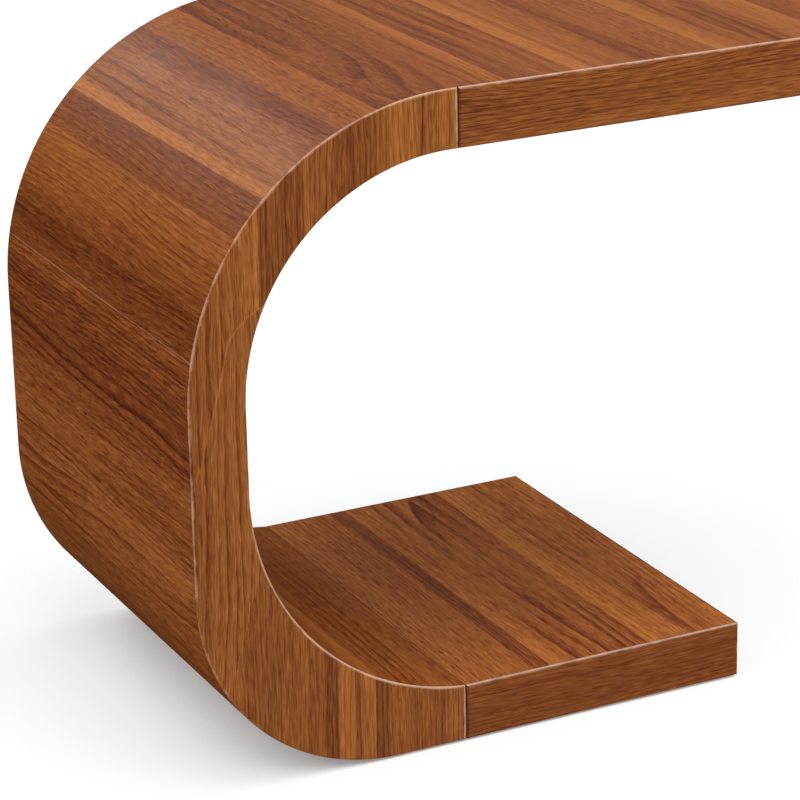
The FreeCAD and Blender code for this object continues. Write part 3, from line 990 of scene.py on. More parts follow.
@dataclass(frozen=True)
class WalnutVeneer:
    """Walnut veneer laid in staves under a satin lacquer.

    Attributes:
        name: Name of the material.
        staves: The boards in order across the veneer.
        width: How far the staves reach, in millimetres.
        spacing: Distance between growth rings in metres.
        boldness: How much stronger the rings of an arched figure are than straight ones.
        streaks: Strength of the broad streaks.
        contrast: Strength of the grain.
        tint: How red, green and blue the boards are against common walnut.
        seed: Start of the boards' seeds.
        spliced: Whether the boards are cut together along the splices of the C-shaped facings.
        pale: Colour of the pale edges, wear and painted highlight.
        grime: Colour of the painted shade in the joint gaps and along the rear edges.
        far_heart: How far beside a straight board its heart lies, in millimetres.
        stave_gap: Width in which one stave's tone gives way to the next, in millimetres.
        splice_lift: How much lighter the line of a splice is.
        roughness: Mean roughness of the lacquer.
        specular: How strongly the lacquer reflects.
        relief_strength: How strongly the relief of the grain shows.
        relief: Depth of that relief in metres.
    """

    name: str
    staves: tuple[Stave, ...]
    width: float
    spacing: float = 0.0050
    boldness: float = 0.2
    streaks: float = 1.0
    contrast: float = 1.0
    tint: Colour = WHITE
    seed: float = 0.13
    spliced: bool = False
    pale: Colour = (0.80, 0.55, 0.42, 1.0)
    # Painted shade for the joint gaps and the rear edges.
    grime: ClassVar[Colour] = (0.010, 0.006, 0.004, 1.0)
    far_heart: ClassVar[float] = 320.0
    stave_gap: ClassVar[float] = 0.2
    splice_lift: ClassVar[float] = 0.17
    roughness: ClassVar[float] = 0.42
    specular: ClassVar[float] = 0.15
    relief_strength: ClassVar[float] = 0.25
    relief: ClassVar[float] = 0.0003

    def stops(self) -> list[Stop]:
        """List tone, seed, heart and figure of each stave at its start.

        Returns:
            The stops of a stepped ramp across the veneer.
        """
        stops = []
        for number, stave in enumerate(self.staves):
            heart = stave.start + self.far_heart if stave.heart is None else stave.heart
            seed = (self.seed + number * GOLDEN_SHARE) % 1.0
            stops.append((stave.start / self.width,
                          (stave.tone, seed, heart / self.width, stave.figure)))
        return stops

    def shades(self) -> list[Stop]:
        """List the tone of each stave at its start and at its end.

        Returns:
            The stops of a smooth ramp across the veneer.
        """
        ends = [stave.start for stave in self.staves[1:]] + [self.width]
        stops = []
        for stave, end in zip(self.staves, ends):
            last = stave.tone if stave.fade is None else stave.fade
            for place, tone in ((stave.start, stave.tone), (end - self.stave_gap, last)):
                stops.append((place / self.width, (tone, tone, tone, 1.0)))
        return stops

    def make(self, effects: Effects) -> bpy.types.Material:
        """Build the material.

        Args:
            effects: The shared groups.

        Returns:
            The material.
        """
        material, nodes, shader = new_material(self.name)
        board = nodes.attribute("board").outputs["Vector"]
        splice: Socket | None = None
        if self.spliced:
            board, splice = effects.splice.place(nodes, Board=board).values()
        width = self.width / MILLIMETRES
        across = nodes.add("ShaderNodeSeparateXYZ", (board,)).outputs[0]
        place = nodes.math("DIVIDE", across, width)
        table = nodes.ramp(place, self.stops(), stepped=True)
        tone, seed, heart = nodes.add("ShaderNodeSeparateColor", (table.outputs["Color"],)).outputs
        if any(stave.fade is not None for stave in self.staves):
            tone = nodes.ramp(place, self.shades()).outputs["Color"]
        if splice is not None:
            tone = nodes.math("MULTIPLY_ADD", splice, self.splice_lift, tone)
        grain = effects.grain.place(nodes, Board=board, Seed=seed,
                                    Heart=nodes.math("MULTIPLY", heart, width),
                                    Figure=table.outputs["Alpha"], Ring_Spacing=self.spacing,
                                    Figure_Strength=self.boldness, Streak_Strength=self.streaks)
        wood = effects.walnut.place(nodes, Tone=tone, Contrast=self.contrast, Tint=self.tint, **grain)
        # Pale edges are wear and painted highlight; dark ones are painted shade.
        edge = effects.edge.place(nodes, Color=wood["Color"], Board=board,
                                  Edge=nodes.attribute("edge").outputs["Fac"],
                                  Pale=self.pale, Grime=self.grime)
        satin = effects.satin.place(nodes, Board=board, Fibre=grain["Fibre"], Pores=grain["Pores"],
                                    Roughness=self.roughness)
        nodes.wire(shader.inputs["Base Color"], edge["Color"])
        nodes.wire(shader.inputs["Roughness"], satin["Roughness"])
        wire_relief(nodes, shader, satin["Height"], self.relief_strength, self.relief)
        shader.inputs["Specular IOR Level"].default_value = self.specular
        return material


TOP_STAVES = (
    Stave(0, 0.41, 0.5, 20, fade=0.45), Stave(30, 0.46, fade=0.66), Stave(46, 0.32, 0.8, 82, fade=0.53),
    Stave(108, 0.68, fade=0.60), Stave(124, 0.47, fade=0.52), Stave(131, 0.58, fade=0.50),
    Stave(140, 0.46, fade=0.47), Stave(170, 0.33, 0.6, 190, fade=0.45),
    Stave(204, 0.42, fade=0.45), Stave(242, 0.62, fade=0.58), Stave(262, 0.50, 0.7, 292, fade=0.42),
    Stave(316, 0.50, fade=0.66), Stave(356, 0.37, fade=0.46), Stave(390, 0.52),
)
OUTER_UPPER_STAVES = (
    Stave(0, 0.41, 0.9, 45, fade=0.32), Stave(71, 0.50, fade=0.43), Stave(107, 0.23, fade=0.35),
    Stave(128, 0.39, 0.6, 160, fade=0.49), Stave(177, 0.61, fade=0.67), Stave(189, 0.27, fade=0.37),
    Stave(227, 0.54, fade=0.35), Stave(296, 0.23, fade=0.33),
)
OUTER_LOWER_STAVES = (
    Stave(0, 0.38, fade=0.33), Stave(20, 0.30, fade=0.25), Stave(55, 0.25, 0.5, 70, fade=0.32),
    Stave(92, 0.32, fade=0.37), Stave(108, 0.41, fade=0.42), Stave(160, 0.41, fade=0.45),
    Stave(183, 0.50, 0.9, 212, fade=0.45), Stave(238, 0.43, fade=0.39), Stave(262, 0.38, fade=0.40),
    Stave(330, 0.40), Stave(390, 0.46, fade=0.36), Stave(435, 0.34, fade=0.42), Stave(510, 0.42),
)
# The light stave at 84 mm is painted sheen near the cove's front edge.
COVE_STAVES = (
    Stave(0, 0.50, fade=0.48), Stave(28, 0.52, 0.5, 58, fade=0.50), Stave(84, 0.72, fade=0.58),
    Stave(118, 0.50, fade=0.44), Stave(170, 0.44), Stave(220, 0.34, 0.6, 245, fade=0.40),
    Stave(275, 0.46), Stave(335, 0.38),
)
INNER_STAVES = (
    Stave(0, 0.45), Stave(42, 0.56), Stave(80, 0.40, 0.8, 110), Stave(140, 0.50), Stave(195, 0.62),
    Stave(212, 0.42), Stave(265, 0.50, 0.6, 290), Stave(320, 0.38),
)
BASE_STAVES = (
    Stave(0, 0.67, fade=0.59), Stave(66, 0.40, fade=0.32), Stave(82, 0.73, fade=0.60),
    Stave(102, 0.60, 0.9, 148, fade=0.51), Stave(179, 0.77, fade=0.65),
    Stave(198, 0.63, 0.7, 228, fade=0.56), Stave(240, 0.60, fade=0.76),
)
UNDER_STAVES = (
    Stave(0, 0.46), Stave(52, 0.40, 0.7, 80), Stave(110, 0.55), Stave(150, 0.44), Stave(205, 0.62),
    Stave(222, 0.45, 0.8, 260), Stave(300, 0.38),
)
BACK_STAVES = (
    Stave(0, 0.46, 0.5), Stave(25, 0.54, 0.45), Stave(38, 0.45, 0.4), Stave(46, 0.56), Stave(60, 0.64),
    Stave(64, 0.36), Stave(103, 0.58), Stave(108, 0.48), Stave(130, 0.35), Stave(143, 0.30),
    Stave(148, 0.42), Stave(167, 0.50), Stave(177, 0.60), Stave(205, 0.40), Stave(210, 0.50),
    Stave(226, 0.64), Stave(230, 0.55),
    Stave(250, 0.46, 0.55), Stave(268, 0.51, 0.5), Stave(286, 0.55, 0.5), Stave(300, 0.52, 0.4),
    Stave(320, 0.44), Stave(428, 0.36), Stave(442, 0.60), Stave(458, 0.36), Stave(462, 0.58),
    Stave(475, 0.34), Stave(488, 0.46), Stave(520, 0.44), Stave(542, 0.52),
)
EDGE_STAVES = (Stave(0, 0.44), Stave(17, 0.41), Stave(31, 0.44))
REDDISH = (1.03, 0.96, 0.84, 1.0)
HONEY = (1.0, 1.02, 0.95, 1.0)
DUSKY = (0.96, 0.96, 0.92, 1.0)
# SHADY darkens the base's edge facings against the top's: painted shade.
SHADY = (0.86, 0.82, 0.78, 1.0)
VENEERS = (
    WalnutVeneer("walnut_top_face", TOP_STAVES, 420, boldness=0.6, streaks=1.5, contrast=0.58,
                 seed=0.11),
    WalnutVeneer("walnut_top_under", UNDER_STAVES, 420, seed=0.29),
    WalnutVeneer("walnut_base_face", BASE_STAVES, 271, boldness=0.6, contrast=1.12, tint=REDDISH,
                 seed=0.47),
    WalnutVeneer("walnut_base_under", UNDER_STAVES, 361, seed=0.71),
    WalnutVeneer("walnut_outer_upper", OUTER_UPPER_STAVES, 340, contrast=0.74, seed=0.2665),
    WalnutVeneer("walnut_outer_lower", OUTER_LOWER_STAVES, 600, contrast=0.9, tint=REDDISH,
                 seed=0.37),
    WalnutVeneer("walnut_inner_upper", INNER_STAVES, 360, seed=0.59),
    WalnutVeneer("walnut_inner_lower", COVE_STAVES, 390, tint=REDDISH, seed=0.83),
    WalnutVeneer("walnut_back", BACK_STAVES, 570, boldness=1.3, contrast=0.71, tint=HONEY,
                 seed=0.19, spliced=True, pale=(0.81, 0.54, 0.38, 1.0)),
    WalnutVeneer("walnut_top_edge", EDGE_STAVES, 50, spacing=0.004, contrast=0.84, tint=DUSKY,
                 seed=0.41),
    WalnutVeneer("walnut_base_edge", EDGE_STAVES, 50, spacing=0.004, contrast=0.69, tint=SHADY,
                 seed=0.67),
    WalnutVeneer("walnut_top_end", EDGE_STAVES, 50, contrast=0.85, seed=0.53),
    WalnutVeneer("walnut_base_end", EDGE_STAVES, 50, contrast=0.85, seed=0.97),
)


@dataclass(frozen=True)
class PlainFitting:
    """Finish of a fitting or an inner board.

    Attributes:
        kind: What it is made of.
        dark: Colour in the hollows of the mottling.
        light: Colour on its heights.
        coarse: Scale of the clouds.
        fine: Scale of the specks.
        rough: Lowest and highest roughness.
        metal: Whether it is bare metal.
        relief: Depth of the relief in metres.
        relief_strength: How strongly the relief shows.
        mottling: Share of the clouds and of the specks in the colour.
        cloud_span: Span of the clouds from the lowest to the highest roughness.
    """

    kind: Fitting
    dark: Colour
    light: Colour
    coarse: float
    fine: float
    rough: tuple[float, float]
    metal: bool = False
    relief: float = 0.0002
    relief_strength: ClassVar[float] = 0.35
    mottling: ClassVar[float] = 0.5
    cloud_span: ClassVar[tuple[float, float]] = (0.3, 0.7)

    def make(self, effects: Effects) -> bpy.types.Material:
        """Build the material from the speckle group.

        Args:
            effects: The shared groups.

        Returns:
            The material.
        """
        material, nodes, shader = new_material(self.kind.value)
        place = nodes.add("ShaderNodeTexCoord").outputs["Object"]
        speckle = effects.speckle.place(nodes, Place=place, Coarse=self.coarse, Fine=self.fine)
        share = nodes.math("ADD", nodes.math("MULTIPLY", speckle["Clouds"], self.mottling),
                           nodes.math("MULTIPLY", speckle["Specks"], self.mottling), clamp=True)
        nodes.wire(shader.inputs["Base Color"], nodes.mix(share, self.dark, self.light))
        nodes.wire(shader.inputs["Roughness"],
                   nodes.span(speckle["Clouds"], *self.cloud_span, *self.rough))
        wire_relief(nodes, shader, speckle["Specks"], self.relief_strength, self.relief)
        shader.inputs["Metallic"].default_value = 1.0 if self.metal else 0.0
        return material


FITTINGS = (
    PlainFitting(Fitting.PLY, (0.30, 0.19, 0.10, 1), (0.50, 0.36, 0.22, 1), 25, 420, (0.6, 0.8)),
    PlainFitting(Fitting.SOFTWOOD, (0.36, 0.22, 0.11, 1), (0.58, 0.41, 0.24, 1), 18, 300, (0.6, 0.8)),
    PlainFitting(Fitting.CHIPBOARD, (0.25, 0.16, 0.08, 1), (0.55, 0.42, 0.27, 1), 90, 380, (0.7, 0.9)),
    PlainFitting(Fitting.BEECH, (0.46, 0.29, 0.16, 1), (0.66, 0.48, 0.31, 1), 60, 900, (0.55, 0.75)),
    PlainFitting(Fitting.STEEL, (0.42, 0.42, 0.43, 1), (0.62, 0.62, 0.63, 1), 120, 1500, (0.25, 0.42),
                 metal=True, relief=0.00005),
    PlainFitting(Fitting.ZINC, (0.38, 0.39, 0.41, 1), (0.58, 0.59, 0.61, 1), 150, 1300, (0.35, 0.55),
                 metal=True, relief=0.00008),
    PlainFitting(Fitting.PLASTIC, (0.060, 0.026, 0.013, 1), (0.095, 0.042, 0.021, 1), 90, 2200,
                 (0.38, 0.52), relief=0.00008),
    PlainFitting(Fitting.FELT, (0.045, 0.032, 0.024, 1), (0.115, 0.085, 0.065, 1), 220, 2600,
                 (0.9, 1.0), relief=0.0006),
)


@dataclass
class EasedPlate:
    """A thin facing with rounded edges on the side that shows.

    Attributes:
        node: The solid that the facing stands for.
        slot: The record's material slot; not used.
        finish: Name of the veneer.
        strengths: How pale (1: wear and painted highlight) or dark (-1: painted shade) the edge is,
        along the upper chain, across the chains' last points, along the lower chain and across the
        chains' first points.
        turns: Number of chords in the rounded edge.
        fade: How far the edge mark fades into the face.
        rim_mark_share: Share of the edge mark at the back of the rim.
        turn_mark_share: Share of the edge mark where the rim begins to turn.
        face_loss: Share of the edge mark that is lost between there and the face.
    """

    node: str
    slot: str
    finish: str
    strengths: PaintedLightAndWear
    turns: ClassVar[int] = 4
    fade: ClassVar[float] = 0.0012
    rim_mark_share: ClassVar[float] = 0.2
    turn_mark_share: ClassVar[float] = 0.6
    face_loss: ClassVar[float] = 0.5

    def chains(self, inset: float) -> tuple[Chain, Chain]:
        """Give the upper and lower chain of the outline at an inset, with equal counts."""
        raise NotImplementedError

    def place(self, point: Point, depth: float) -> Vector:
        """Give the place of a point of the outline at a depth behind the face."""
        raise NotImplementedError

    def board(self, point: Point) -> Vector:
        """Give a point's place on the veneer, across and along the grain."""
        raise NotImplementedError

    def painted_light_and_wear(self, number: int, count: int) -> float:
        """Give the mark of one edge of the loop: wear and painted highlight, or painted shade.

        Args:
            number: The edge's number along the loop.
            count: Number of points in one chain.

        Returns:
            How pale or dark the edge is.
        """
        if number < count - 1:
            return self.strengths[0]
        if number == count - 1:
            return self.strengths[1]
        return self.strengths[2] if number < 2 * count - 1 else self.strengths[3]

    def levels(self) -> list[Triple]:
        """List the inset, the depth behind the face and the share of the edge mark of each loop.

        Returns:
            The levels from the back, round the edge and on to the face.
        """
        levels = [(0.0, SIZES.band, self.rim_mark_share)]
        for number in range(self.turns + 1):
            turn = math.pi / 2 * number / self.turns
            wear = min(1.0, self.turn_mark_share + math.sin(turn)) * (1 - self.face_loss * number / self.turns)
            levels.append((SIZES.ease * (1 - math.cos(turn)), SIZES.ease * (1 - math.sin(turn)), wear))
        levels.append((SIZES.ease + self.fade, 0.0, 0.0))
        return levels

    def build(self) -> bpy.types.Object:
        """Build the plate: a flat back, a rim, a rounded edge and the face.

        Returns:
            The plate.
        """
        draft = MeshDraft()
        levels = self.levels()
        loops = []
        for inset, depth, _ in levels:
            upper, lower = self.chains(inset)
            loops.append([draft.point(self.place(point, depth), self.board(point))
                          for point in upper + lower[::-1]])
        size = len(loops[0])
        count = size // 2
        for loop, after, (_, _, share), (_, _, next_share) in zip(loops, loops[1:], levels, levels[1:]):
            for number in range(size):
                other = (number + 1) % size
                # Each edge's mark: pale for wear and painted highlight, dark for painted shade.
                painted_light_and_wear = self.painted_light_and_wear(number, count)
                draft.face([loop[number], loop[other], after[other], after[number]],
                           [share * painted_light_and_wear, share * painted_light_and_wear, next_share * painted_light_and_wear, next_share * painted_light_and_wear])
        for loop, turned in ((loops[0], True), (loops[-1], False)):
            for number in range(count - 1):
                corners = [loop[number], loop[number + 1], loop[size - 2 - number],
                           loop[size - 1 - number]]
                draft.face(corners[::-1] if turned else corners)
        return draft.finish(self.node + "_veneer")


@dataclass(kw_only=True)
class SideFacing(EasedPlate):
    """A facing at the front or the rear.

    Attributes:
        side: The side that it lies on.
        grain_step: How far apart the grain of the two sides is drawn.
    """

    side: Side
    grain_step: ClassVar[float] = 0.5

    def place(self, point: Point, depth: float) -> Vector:
        """Stand the outline at the front or the rear."""
        return Vector((point[0], self.side.value * (SIZES.depth / 2 - depth), point[1]))


@dataclass(kw_only=True)
class BackFacing(SideFacing):
    """The C-shaped facing of the back.

    Attributes:
        steps: Number of chords in each bend.
        outer_highlight_and_wear: Paleness along the outside, wear and painted highlight that fades down
            the leg, with places counted in bends from the top.
        inner_highlight_and_wear: Paleness along the inside, wear and painted highlight strongest on the
            cove, with places counted in bends from the base.
    """

    steps: int
    # Painted highlight with wear: bright at the top and on the cove, fading where less light falls.
    outer_highlight_and_wear: ClassVar[tuple[Point, ...]] = (
        (0.0, 0.72), (0.3, 0.56), (0.6, 0.46), (0.95, 0.46), (1.1, 0.34), (1.35, 0.24), (1.5, 0.10),
        (1.7, 0.02), (2.1, 0.0))
    inner_highlight_and_wear: ClassVar[tuple[Point, ...]] = (
        (0.0, 0.95), (0.5, 1.0), (0.8, 0.85), (1.0, 0.40), (1.2, 0.08), (2.1, 0.03))

    def chains(self, inset: float) -> tuple[Chain, Chain]:
        """Follow the outside and the inside of the C.

        Args:
            inset: How far inside the outline the chains lie.

        Returns:
            The outside and the inside, both from the top to the base.
        """
        end = SIZES.joint - SIZES.reveal - inset
        bend = (SIZES.upper_radius, SIZES.bend_level)
        low_bend = (SIZES.lower_radius, SIZES.low_level)
        cove = (SIZES.cove_across, SIZES.cove_level)
        radius = SIZES.cove_radius + inset
        outer = [(end, SIZES.height - inset),
                 *arc(bend, SIZES.upper_radius - inset, 90, 180, self.steps),
                 *arc(low_bend, SIZES.lower_radius - inset, 180, 270, self.steps),
                 (end, SIZES.pad + inset)]
        inner = [(end, SIZES.top_under + inset),
                 *arc(bend, SIZES.upper_radius - SIZES.panel + inset, 90, 180, self.steps),
                 *arc(cove, radius, 180, cove_end(end, radius), self.steps + 1)]
        return outer, inner

    def board(self, point: Point) -> Vector:
        """Run the grain upright."""
        return Vector((point[0], point[1], self.grain_step * self.side.value))

    def painted_light_and_wear(self, number: int, count: int) -> float:
        """Make the outer edge and the cove pale with wear and painted highlight, and leave the inner
        bend.

        Args:
            number: The edge's number along the loop.
            count: Number of points in one chain.

        Returns:
            How pale or dark the edge is.
        """
        painted_light_and_wear = super().painted_light_and_wear(number, count)
        if number < count - 1:
            painted_light_and_wear *= between(self.outer_highlight_and_wear, number / self.steps)
        elif count <= number < 2 * count - 1:
            painted_light_and_wear *= between(self.inner_highlight_and_wear, (number - count) / self.steps)
        return painted_light_and_wear


@dataclass(kw_only=True)
class PanelFacing(SideFacing):
    """The straight front or rear facing of a panel.

    Attributes:
        low: Level of the panel's underside.
        high: Level of its upper face.
        end: Where its free end lies.
    """

    low: float
    high: float
    end: float

    def chains(self, inset: float) -> tuple[Chain, Chain]:
        """Follow the upper and lower edge.

        Args:
            inset: How far inside the outline the chains lie.

        Returns:
            The upper and the lower edge, both from the free end to the joint.
        """
        ends = (self.end - inset, SIZES.joint + SIZES.reveal + inset)
        return [(end, self.high - inset) for end in ends], [(end, self.low + inset) for end in ends]

    def board(self, point: Point) -> Vector:
        """Run the grain along the panel."""
        return Vector((point[1] - self.low, point[0], self.grain_step * self.side.value))


@dataclass(kw_only=True)
class EndFacing(EasedPlate):
    """The facing of a panel's free end.

    Attributes:
        low: Level of the panel's underside.
        high: Level of its upper face.
        end: Where its free end lies.
        grain_step: How far its grain is drawn from that of the panel's middle.
    """

    low: float
    high: float
    end: float
    grain_step: ClassVar[float] = 1.5

    def chains(self, inset: float) -> tuple[Chain, Chain]:
        """Follow the upper and lower edge between the front and rear facings.

        Args:
            inset: How far inside the outline the chains lie, apart from their ends.

        Returns:
            The upper and the lower edge, both from the rear to the front.
        """
        ends = (SIZES.half_inside, -SIZES.half_inside)
        return [(end, self.high - inset) for end in ends], [(end, self.low + inset) for end in ends]

    def place(self, point: Point, depth: float) -> Vector:
        """Stand the outline at the free end."""
        return Vector((self.end - depth, point[0], point[1]))

    def board(self, point: Point) -> Vector:
        """Run the grain across the end."""
        return Vector((point[1] - self.low, point[0], self.grain_step))


@dataclass
class BentSheet:
    """A veneered sheet that keeps one profile over the depth of the table.

    Attributes:
        node: The solid that the sheet stands for.
        finish: Name of the veneer.
        face: Profile of the side that shows, from the start to the end.
        back: Profile of the hidden side, in the same direction.
        start_ease: Radius of the eased edge at the start.
        end_ease: Radius of the eased edge at the end.
        start_edge: How pale (1: wear and painted highlight) or dark (-1: painted shade) the edge at the
            start is.
        end_edge: How pale or dark the edge at the end is.
        front_share: How much of that is left at the front.
        slot: The record's material slot.
        turns: Number of chords in an eased edge.
    """

    node: str
    finish: str
    face: Chain
    back: Chain
    start_ease: float = 0.0002
    end_ease: float = 0.0002
    start_edge: float = 0.0
    end_edge: float = 0.0
    front_share: float = 1.0
    slot: ClassVar[str] = "walnut_face"
    turns: ClassVar[int] = 3

    def eased(self, corner: Point, ahead: Point, behind: Point, radius: float) -> Chain:
        """Round the corner where the face meets an end, from the end to the face.

        Args:
            corner: Where face and end would meet.
            ahead: The next point of the face.
            behind: The corner of the hidden side.
            radius: Radius of the edge.

        Returns:
            Points from the end to the face.
        """
        along = (Vector(ahead) - Vector(corner)).normalized()
        inward = (Vector(behind) - Vector(corner)).normalized()
        centre = Vector(corner) + (along + inward) * radius
        points = []
        for turn in range(self.turns + 1):
            angle = math.pi / 2 * turn / self.turns
            point = centre - along * radius * math.cos(angle) - inward * radius * math.sin(angle)
            points.append((point.x, point.y))
        return points

    def build(self) -> bpy.types.Object:
        """Build the sheet across the depth.

        Returns:
            The sheet.
        """
        first = self.eased(self.face[0], self.face[1], self.back[0], self.start_ease)
        last = self.eased(self.face[-1], self.face[-2], self.back[-1], self.end_ease)[::-1]
        shown = first + self.face[1:-1] + last
        loop = shown + self.back[::-1]
        across = run_lengths(shown) + run_lengths(self.back)[::-1]
        # Pale marks are wear and painted highlight; dark ones painted shade in the joint.
        wear = [0.0] * len(loop)
        for turn in range(1, self.turns):
            wear[turn] = self.start_edge
            wear[len(shown) - 1 - turn] = self.end_edge
        draft = MeshDraft()
        front, rear = [
            [draft.point(Vector((point[0], depth, point[1])), Vector((run, depth, 0.0)))
             for point, run in zip(loop, across)]
            for depth in (-SIZES.half_inside, SIZES.half_inside)]
        share = self.front_share
        for number in range(len(loop)):
            other = (number + 1) % len(loop)
            draft.face([front[number], front[other], rear[other], rear[number]],
                       [share * wear[number], share * wear[other], wear[other], wear[number]])
        draft.face(front[::-1])
        draft.face(rear)
        return draft.finish(self.node + "_veneer")


@dataclass
class Dresser:
    """Puts finishes on pieces and ties the pieces to the frame.

    Attributes:
        effects: The shared groups.
        finishes: The materials by name.
    """

    effects: Effects
    finishes: dict[str, bpy.types.Material] = field(default_factory=dict)

    def stock(self, finishes: Sequence[WalnutVeneer | PlainFitting]) -> None:
        """Build the materials.

        Args:
            finishes: The veneers and the finishes of the fittings.
        """
        for finish in finishes:
            material = finish.make(self.effects)
            self.finishes[material.name] = material

    def veneer(self, piece: EasedPlate | BentSheet) -> None:
        """Build a piece that stands for a solid, and dress it.

        Args:
            piece: The facing or sheet.
        """
        built = piece.build()
        built.data.materials.append(self.finishes[piece.finish])
        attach(built, "root")
        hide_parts(piece.node)
        log.info("piece %s: %d faces, %s", built.name, len(built.data.polygons), piece.finish)

    def solid(self, node: str, fitting: Fitting) -> None:
        """Give a carried-over solid its finish.

        Args:
            node: The solid.
            fitting: What it is made of.
        """
        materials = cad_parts[node].data.materials
        materials.clear()
        materials.append(self.finishes[fitting.value])
        log.info("solid %s: %s", node, fitting.value)


class SubAssembly:
    """A part of the table that is veneered outside and plain inside.

    Attributes:
        inner_nodes: The solids inside and what they are made of.
    """

    inner_nodes: InnerNodes

    def pieces(self) -> list[EasedPlate | BentSheet]:
        """Give the veneered pieces."""
        raise NotImplementedError

    def build(self, dresser: Dresser) -> None:
        """Build and dress the veneered pieces, and finish the solids inside.

        Args:
            dresser: What puts the finishes on.
        """
        for piece in self.pieces():
            dresser.veneer(piece)
        for node, fitting in self.inner_nodes:
            dresser.solid(node, fitting)


@dataclass
class Back(SubAssembly):
    """The hollow C-shaped back: facings, bent sheets and the frame inside.

    Attributes:
        steps: Number of chords in each bend.
        seam_steps: Number of chords in the end of the upper bend, below the outer seam.
        seam_ease: Radius of the sheets' eased edges at the seams.
        joint_ease: Radius of the cove's eased edge at the joint.
        outer_seam: How pale the outer seam is, with wear and painted highlight.
        outer_seam_front: How much of that is left at the front.
        inner_seam: How pale the inner seam is.
        facing_wear: Pale edges of the facings on each side, wear and painted highlight, weaker at the
            rear.
        inner_nodes: The solids inside and what they are made of.
    """

    steps: int = 56
    seam_steps: int = 6
    seam_ease: float = 0.0006
    joint_ease: float = 0.0004
    outer_seam: float = 1.0
    outer_seam_front: float = 0.75
    inner_seam: float = 0.3
    # Wear and painted highlight on the facings' edges, weaker on the rear facing.
    facing_wear: ClassVar[dict[Side, PaintedLightAndWear]] = {
        Side.FRONT: (1.0, 0.9, 0.9, 0.9), Side.REAR: (0.2, 0.5, 0.4, 0.5)}
    inner_nodes: InnerNodes = (
        ("back_ribs", Fitting.PLY), ("outer_seam_strip", Fitting.SOFTWOOD),
        ("inner_seam_strip", Fitting.SOFTWOOD), ("top_joint_batten", Fitting.SOFTWOOD),
        ("base_joint_batten", Fitting.SOFTWOOD))

    def pieces(self) -> list[EasedPlate | BentSheet]:
        """Give the facings and the bent sheets."""
        return [*self.facings(), *self.outer_sheets(), *self.inner_sheets()]

    def facings(self) -> list[EasedPlate]:
        """Give the two C-shaped facings."""
        return [BackFacing(f"back_{side.name.lower()}_facing", "walnut_back_facing", "walnut_back",
                           self.facing_wear[side], side=side, steps=self.steps) for side in Side]

    def outer_sheets(self) -> list[BentSheet]:
        """Give the two sheets bent round the outside.

        Returns:
            The upper sheet, from the joint to the seam, and the lower one, from there to the joint.
        """
        s = SIZES
        upper, lower = [], []
        for inset in (0.0, s.skin):
            bend = ((s.upper_radius, s.bend_level), s.upper_radius - inset)
            low_bend = ((s.lower_radius, s.low_level), s.lower_radius - inset)
            seam = 180 - math.degrees(math.asin(s.seam_rise / bend[1]))
            upper.append([(s.joint, s.height - inset), *arc(*bend, 90, seam, self.steps)])
            lower.append([*arc(*bend, seam, 180, self.seam_steps), *arc(*low_bend, 180, 270, self.steps),
                          (s.joint, s.pad + inset)])
        return [BentSheet("back_outer_skin_upper", "walnut_outer_upper", *upper,
                          end_ease=self.seam_ease, end_edge=self.outer_seam,
                          front_share=self.outer_seam_front),
                BentSheet("back_outer_skin_lower", "walnut_outer_lower", *lower,
                          start_ease=self.seam_ease)]

    def inner_sheets(self) -> list[BentSheet]:
        """Give the two sheets bent round the inside.

        Returns:
            The upper sheet, from the seam to the joint, and the cove, from its joint to the seam.
        """
        s = SIZES
        seam = s.bend_level - s.strip_height / 2
        upper, cove = [], []
        for inset in (0.0, s.skin):
            bend = ((s.upper_radius, s.bend_level), s.upper_radius - s.panel + inset)
            sweep = ((s.cove_across, s.cove_level), s.cove_radius + inset)
            at_seam = (s.panel - inset, seam)
            upper.append([at_seam, *arc(*bend, 180, 90, self.steps), (s.joint, s.top_under + inset)])
            cove.append([*arc(*sweep, cove_end(s.joint, sweep[1]), 180, self.steps), at_seam])
        return [BentSheet("back_inner_skin_upper", "walnut_inner_upper", *upper,
                          start_ease=self.seam_ease, start_edge=self.inner_seam),
                BentSheet("back_inner_skin_lower", "walnut_inner_lower", *cove,
                          start_ease=self.joint_ease, start_edge=JOINT_SHADE,
                          end_ease=self.seam_ease, end_edge=self.inner_seam)]


